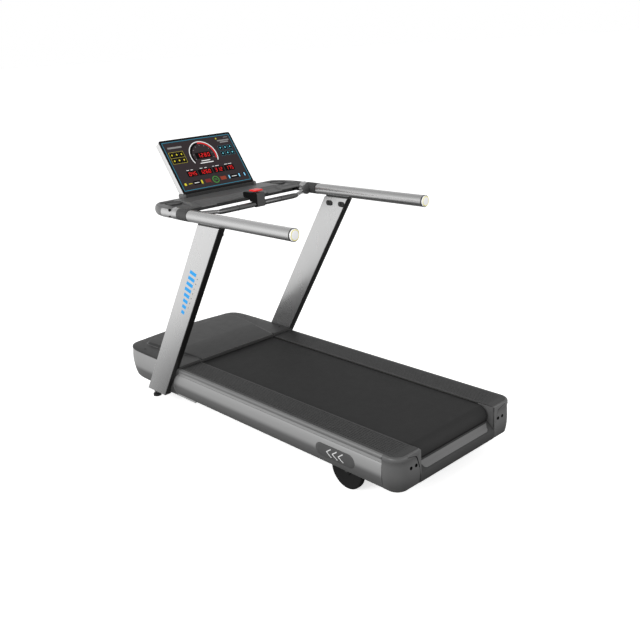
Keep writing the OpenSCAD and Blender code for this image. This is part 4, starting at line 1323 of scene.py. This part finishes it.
def slab(name, outline, low, high, material, edge=0.0):
    """A thin plate on the screen's face."""
    rings = [[face(u, v, w) for u, v in outline] for w in (low, high)]
    obj = loft(name, rings, material)
    return soften(obj, edge) if edge else obj


def pill(u, v, half_u, half_v, r):
    """A rectangle with rounded corners round (u, v)."""
    return [(u + a, v + b) for a, b in rounded(half_u, -half_v, half_v, r, 3)]


def ring_band(cu, cv, outer, inner, start, stop, steps=40):
    """A curved band between two radii."""
    return arc(cu, cv, outer, start, stop, steps) + list(reversed(arc(cu, cv, inner, start, stop, steps)))


def frame_line(u0, u1, v0, v1, thick):
    """Four bars that make a rectangular border."""
    return [bar(u0, u1, v1 - thick, v1), bar(u0, u1, v0, v0 + thick), bar(u0, u0 + thick, v0, v1),
            bar(u1 - thick, u1, v0, v1)]


# left, right, lower and upper limit of each bar of a digit, as shares of its width and height
SEGMENTS = {"a": (0.15, 0.85, 0.9, 1.0), "b": (0.82, 1.0, 0.53, 0.97), "c": (0.82, 1.0, 0.03, 0.47),
            "d": (0.15, 0.85, 0.0, 0.1), "e": (0.0, 0.18, 0.03, 0.47), "f": (0.0, 0.18, 0.53, 0.97),
            "g": (0.15, 0.85, 0.45, 0.55)}
DIGITS = {"0": "abcdef", "1": "bc", "2": "abged", "3": "abgcd", "4": "fgbc", "5": "afgcd", "6": "afgedc",
          "7": "abc", "8": "abcdefg", "9": "abcdfg"}


def digit(symbol, u, v, width, height):
    """Seven-segment digit as leaning bars."""
    shapes = []
    for name in DIGITS[symbol]:
        a, b, c, d = SEGMENTS[name]
        shape = bar(a * width, b * width, c * height, d * height)
        shapes.append([(u + p + 0.08 * q, v + q) for p, q in shape])
    return shapes


def print_on_screen(name, shapes, lift, material):
    """One piece of printed shapes; lift is measured from the screen's face."""
    parts = [slab("shape", shape, -1.5, lift, material) for shape in shapes]
    fit(join(name, parts), "display_surface")


def painted_glow(name, r, g, b, strength):
    """A print that shines a little by itself: a painted glow, though the print is no lamp."""
    return surface(name, rgb(r, g, b), 0.4, grain=600, bump=0.01, mottle=0.05, glow=strength)


def build_screen_case():
    """Shell of the screen, hollow behind the glass and notched over the console."""
    half, high = SCREEN_W / 2, SCREEN_H
    rings = []
    for w, g in ((-6.2, 0.4), (-7.5, 0), (-20, 0), (-40, 0), (-45.5, 1.4), (-48.6, 4.4), (-SCREEN_T, 9)):
        rings.append([face(u, v, w) for u, v in rounded(half - g, g, high - g, 11, 8)])
    shell = loft("screen_case", rings, screen_shell)
    pocket = slab("pocket", rounded(half - 8, 8, high - 8, 4), -12.4, -2, screen_shell)
    floor_cut = prism("foot_room", bar(400, 720, 1190, 1246), "x", -300, 300, screen_shell)
    cut(shell, pocket, floor_cut)
    fit(shell, "screen_back_plastic", "console_back", angle=36)


def build_bezel():
    """Glossy border and the plate inside it."""
    half, high = SCREEN_W / 2, SCREEN_H
    outer = rounded(half, 0, high, 10, 8)
    inner = rounded(half - 11, 11, high - 11, 4, 8)
    rings = []
    for ring, w in ((outer, -6), (outer, -1), (rounded(half - 0.9, 0.9, high - 0.9, 9.5, 8), 0),
                    (rounded(half - 10, 10, high - 10, 5, 8), 0), (inner, -0.8), (inner, -6)):
        rings.append([face(u, v, w) for u, v in ring])
    bezel = loft("screen_bezel", rings, bezel_gloss, loop=True)
    fit(bezel, "bezel_plastic", "console_bezel")
    panel = slab("display_plate", rounded(half - 11.1, 11.1, high - 11.1, 4, 8), -12, -1.2, display_glass)
    fit(panel, "display_surface", "display_panel")


def build_case_details():
    """Vents and screws on the back, and the two tabs at the foot."""
    vents = []
    for k in range(12):
        v = 96 + k * 14
        vents.append(slab("vent", bar(-90, 90, v, v + 5), -SCREEN_T - 0.7, -SCREEN_T + 1, black_plastic, 0.4))
    fit(join("screen_vents", vents), "screen_back_plastic")
    for s, side in SIDES:
        for k, v in enumerate((40, SCREEN_H - 40), 1):
            rings = [[face(s * 210 + a, v + b, w) for a, b in arc(0, 0, r, 0, 360, 20)[:-1]]
                     for r, w in ((6, -SCREEN_T + 1), (6, -SCREEN_T - 0.8), (4.5, -SCREEN_T - 1.2))]
            fit(loft(f"{side}_case_screw_{k}", rings, steel), "screen_back_plastic")
    outline = [(548, 1243), (548, 1258), (556, 1263), (592, 1263), (596, 1256), (596, 1240)]
    for s, side in SIDES:
        tab = prism(f"{side}_screen_tab", outline, "x", *sorted((s * 240, s * 262)), console_plastic, 2.5, 3)
        fit(tab, "black_plastic")


# painted glow: the screen's printed colours shine a little by themselves
teal = painted_glow("teal_line", 38, 118, 142, 0.25)
yellow = painted_glow("yellow_keys", 196, 182, 40, 0.3)
olive = painted_glow("olive", 150, 140, 34, 0.2)
cyan = painted_glow("cyan_keys", 96, 190, 208, 0.35)
deep_cyan = painted_glow("deep_cyan", 50, 116, 132, 0.25)
red = painted_glow("red_digits", 224, 20, 22, 0.55)
arc_red = painted_glow("arc_red", 196, 20, 22, 0.35)
dark_red = painted_glow("dark_red_key", 112, 24, 24, 0.15)
orange = painted_glow("orange_key", 140, 52, 26, 0.15)
green = painted_glow("green_key", 58, 122, 48, 0.2)
pale = painted_glow("pale_print", 214, 214, 214, 0.35)
grey = painted_glow("grey_marks", 128, 128, 128, 0.2)
sky = painted_glow("sky_keys", 120, 190, 226, 0.35)
dark = surface("window_black", shade(5), 0.5, grain=600, bump=0.01, specular=0.1)


def print_borders():
    """Thin borders and the plain marks in the upper corners."""
    print_on_screen("teal_border", frame_line(-238, 238, 17, 335, 3.6), -0.95, teal)
    print_on_screen("name_bar", [pill(-167, 296, 48, 5.5, 3)], -0.9, grey)
    print_on_screen("corner_marks", [pill(178, 300, 42, 4, 2), pill(180, 288, 30, 4, 2),
                                     bar(190, 219, 317, 320)], -0.9, grey)
    print_on_screen("corner_dot", [pill(134, 316, 4.5, 4.5, 3)], -0.85, yellow)

    print_on_screen("yellow_block", frame_line(-224, -126, 192, 269, 2.0)
                    + [bar(-222, -128, 229, 231)], -0.9, olive)


def print_keys():
    """Six yellow keys on the left and six cyan ones on the right."""
    yellow_keys = []
    key_backs = []
    for u in (-207, -175, -143):
        for v in (249, 211):
            key_backs.append(pill(u, v, 14, 15, 4))
            yellow_keys.append(pill(u, v + 1, 4.2, 5.2, 2.4))
    cyan_keys = []
    cyan_edges = []
    for u in (134, 169, 204):
        for v in (251, 213):
            key_backs.append(pill(u, v, 14, 14, 4))
            cyan_keys.append(pill(u, v + 1, 3.6, 4.4, 2))
            cyan_edges += frame_line(u - 14, u + 14, v - 14, v + 14, 1.0)
    print_on_screen("key_backs", key_backs, -0.95, dark)
    print_on_screen("yellow_glyphs", yellow_keys, -0.7, yellow)
    print_on_screen("cyan_glyphs", cyan_keys, -0.7, cyan)
    print_on_screen("cyan_edges", cyan_edges, -0.8, deep_cyan)


def print_dial():
    """The round scale in the middle."""
    cu, cv = -1, 222
    print_on_screen("dial_arc", [ring_band(cu, cv, 93.5, 88, 208, -28, 60)], -0.8, pale)
    print_on_screen("dial_shadow", [ring_band(cu, cv, 86, 74, 204, 100, 36)], -0.9, dark)
    print_on_screen("dial_red", [ring_band(cu, cv, 86, 77, 94, -20, 36)], -0.85, arc_red)
    ticks = []
    for k in range(9):
        a = 198 - k * 27
        ticks.append(ring_band(cu, cv, 69, 62, a - 1.2, a + 1.2, 2))
    print_on_screen("dial_ticks", ticks, -0.85, grey)


def print_values():
    """Number windows, their digits and the labels over them."""
    windows = [bar(-56, 50, 202, 242)]
    digits = []
    for k, symbol in enumerate("1280"):
        digits += digit(symbol, -44 + k * 23, 210, 14, 25)
    rows = [(-168, -99, "045"), (-92, 4, "1260"), (12, 88, "312"), (96, 163, "175")]
    for u0, u1, text in rows:
        windows.append(bar(u0, u1, 99, 134))
        step = 18.5 if len(text) < 4 else 19.5
        start = (u0 + u1) / 2 - (step * len(text) - 4) / 2
        for k, symbol in enumerate(text):
            digits += digit(symbol, start + k * step, 105, 14, 23)
    print_on_screen("digit_windows", windows, -0.9, dark)
    print_on_screen("digit_segments", digits, -0.6, red)
    labels = [pill(-4, 187, 31, 2.8, 2), pill(-3, 173, 46, 2.8, 2)]
    for u0, u1 in ((-163, -147), (-135, -120), (-72, -54), (-38, -22), (18, 30), (38, 64), (104, 126),
                   (132, 156)):
        labels.append(bar(u0, u1, 140, 143.5))
    print_on_screen("value_labels", labels, -0.85, pale)


def print_lower_row():
    """Keys along the lower edge."""
    print_on_screen("lower_yellow", [pill(-211, 58, 7, 8, 5), bar(-190, -166, 56, 60),
                                     pill(-98, 58, 5, 12, 3)], -0.8, yellow)
    print_on_screen("lower_red", [pill(-55, 58, 19, 11, 3)], -0.85, dark_red)
    print_on_screen("lower_orange", [pill(54, 58, 20, 11, 3)], -0.85, orange)
    print_on_screen("start_ring", [ring_band(-1, 57, 23, 17, 0, 359.9, 40)], -0.8, green)
    print_on_screen("start_bars", [bar(-11, 9, 60, 63), bar(-11, 9, 52, 55)], -0.8, green)
    print_on_screen("lower_backs", [pill(-133, 58, 23, 12, 2), pill(133, 58, 27, 12, 2),
                                    pill(171, 58, 8, 14, 2), pill(210, 58, 10, 14, 2)], -1.0, dark)
    print_on_screen("lower_white", [bar(-150, -118, 56, 60), bar(116, 150, 56, 60)], -0.8, pale)
    print_on_screen("lower_sky", [pill(97, 58, 4, 11, 3), pill(171, 58, 4, 11, 3), pill(210, 58, 4, 11, 3)],
                    -0.8, sky)
    print_on_screen("key_lines", [bar(-42, -26, 42, 44), bar(26, 42, 70, 72)], -0.85, dark_red)


# ---- small parts ----

def badge_plate(name, outline, lift, material):
    """A plate that follows the side panel's bulge: a fan of rings round its middle."""
    my = sum(y for y, z in outline) / len(outline)
    mz = sum(z for y, z in outline) / len(outline)
    rings = []
    for share, up in ((1.0, -0.5), (1.0, lift * 0.6), (0.985, lift), (0.85, lift), (0.6, lift),
                      (0.3, lift), (0.02, lift)):
        ring = []
        for y, z in outline:
            pz = mz + (z - mz) * share
            ring.append((panel_face(pz) + up, my + (y - my) * share, pz))
        rings.append(ring)
    return loft(name, rings, material)


def badge_line(points, width):
    """A narrow raised line along a path on the badge."""
    rings = []
    for i, (y, z) in enumerate(points):
        before, after = points[max(i - 1, 0)], points[min(i + 1, len(points) - 1)]
        dy, dz = after[0] - before[0], after[1] - before[1]
        size = math.hypot(dy, dz)
        ny, nz = -dz / size * width / 2, dy / size * width / 2
        ring = []
        for s, up in ((1, 1.2), (1, 2.1), (-1, 2.1), (-1, 1.2)):
            py, pz = y + s * ny, z + s * nz
            ring.append((panel_face(pz) + up, py, pz))
        rings.append(ring)
    return loft("line", rings, light_print)


def build_badges():
    """Long dark plates with three plain chevrons each."""
    low, high = BADGE_LOW, BADGE_HIGH
    zc, r = (low.z + high.z) / 2, (high.z - low.z) / 2
    outline = arc(low.y + r, zc, r, 90, 270, 20) + arc(high.y - r, zc, r, -90, 90, 20)
    plate = badge_plate("right_badge", outline, 1.6, badge_plastic)
    fit_pair(plate, "badge_plastic", "side_badges")
    parts = []
    rise = 22
    for k in range(3):
        y0 = -812 + k * 40
        lower = [(y0 + 4 * i, zc - rise + rise * i / 8) for i in range(9)]
        upper = [(y0 + 32 - 4 * i, zc + rise * i / 8) for i in range(9)]
        parts += [badge_line(lower, 4.5), badge_line(upper, 4.5)]
    fit_pair(join("right_badge_chevrons", parts), "badge_plastic", "side_badges", angle=40)


def build_wheels():
    """Grooved tyres and thin discs with six round windows."""
    low, high = WHEEL_LOW, WHEEL_HIGH
    centre = (0, (low.y + high.y) / 2, (low.z + high.z) / 2)
    r = (high.z - low.z) / 2
    x0, x1 = low.x, high.x
    tread_side = [(20, 4), (12, 0), (4, 0.5), (1, 3), (0, 7), (0, 11), (1.6, 12), (1.6, 13), (0, 14)]
    disc_side = [(12.3, 2), (26, 1), (30, 5), (70, 8), (81, 4)]
    profile = [(r - g, x0 + d) for g, d in tread_side] + [(r - g, x1 - d) for g, d in reversed(tread_side)]
    tread = lathe("right_wheel_tyre", profile, centre, "x", tyre, 72)
    fit_pair(tread, "wheel_plastic", "right_rear_wheel", body="right_wheel")
    profile = [(g, x0 + d) for g, d in disc_side] + [(g, x1 - d) for g, d in reversed(disc_side)]
    disc = lathe("right_wheel_disc", profile, centre, "x", hub_plastic, 72)
    holes = []
    for k in range(6):
        a = math.radians(60 * k + 30)
        place = (0, centre[1] + 52 * math.cos(a), centre[2] + 52 * math.sin(a))
        holes.append(lathe("window", [(13, x0 - 5), (13, x1 + 5)], place, "x", hub_plastic, 28))
    cut(disc, *holes)
    fit_pair(disc, "wheel_plastic", "right_rear_wheel", body="right_wheel")


# ---- carried-over CAD nodes ----

CAD_FINISH = {
    "left_frame_rail": chassis_paint, "right_frame_rail": chassis_paint, "frame_crossmembers": chassis_paint,
    "upright_brackets": chassis_paint, "deck_board": board_coating, "deck_cushions": rubber,
    "roller_shafts": steel, "front_roller": steel, "rear_roller": steel, "belly_pan": black_plastic,
    "drive_motor": motor_paint, "motor_plate": chassis_paint, "motor_rotor": steel, "drive_belt": rubber,
    "motor_controller": steel, "power_panel": black_plastic, "power_rocker": red_plastic,
    "lift_motor": motor_paint, "lift_brackets": chassis_paint, "lift_rod": steel, "lift_frame": lift_paint,
    "left_foot_pad": rubber, "right_foot_pad": rubber, "wheel_axles": chassis_paint,
    "console_cradle": black_plastic}


def finish_cad_nodes():
    """Gives every CAD node that stays in view its finish."""
    for name, material in CAD_FINISH.items():
        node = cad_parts[name]
        if not node.material_slots:
            node.data.materials.append(material)
        for place in node.material_slots:
            place.material = material


add_camera()
add_floor()
add_studio()
build_belt()
build_foot_rails()
build_side_panels()
build_edge_trims()
build_cap_shells()
build_cap_borders()
build_adjusters()
build_cross_cover()
build_sill_plate()
build_hood()
build_hood_beads()
build_hood_marks()
build_shroud()
build_boots()
build_boot_lines()
build_uprights()
build_upright_bolts()
build_upright_print()
build_handrail_tubes()
build_handrail_ends()
build_sleeves()
build_saddles()
build_console_rim()
build_console_deck()
build_console_underside()
build_elbow_bands()
build_cross_bar()
build_grips()
build_stop_switch()
build_stop_button()
build_screen_case()
build_bezel()
build_case_details()
print_borders()
print_keys()
print_dial()
print_values()
print_lower_row()
build_badges()
build_wheels()
finish_cad_nodes()
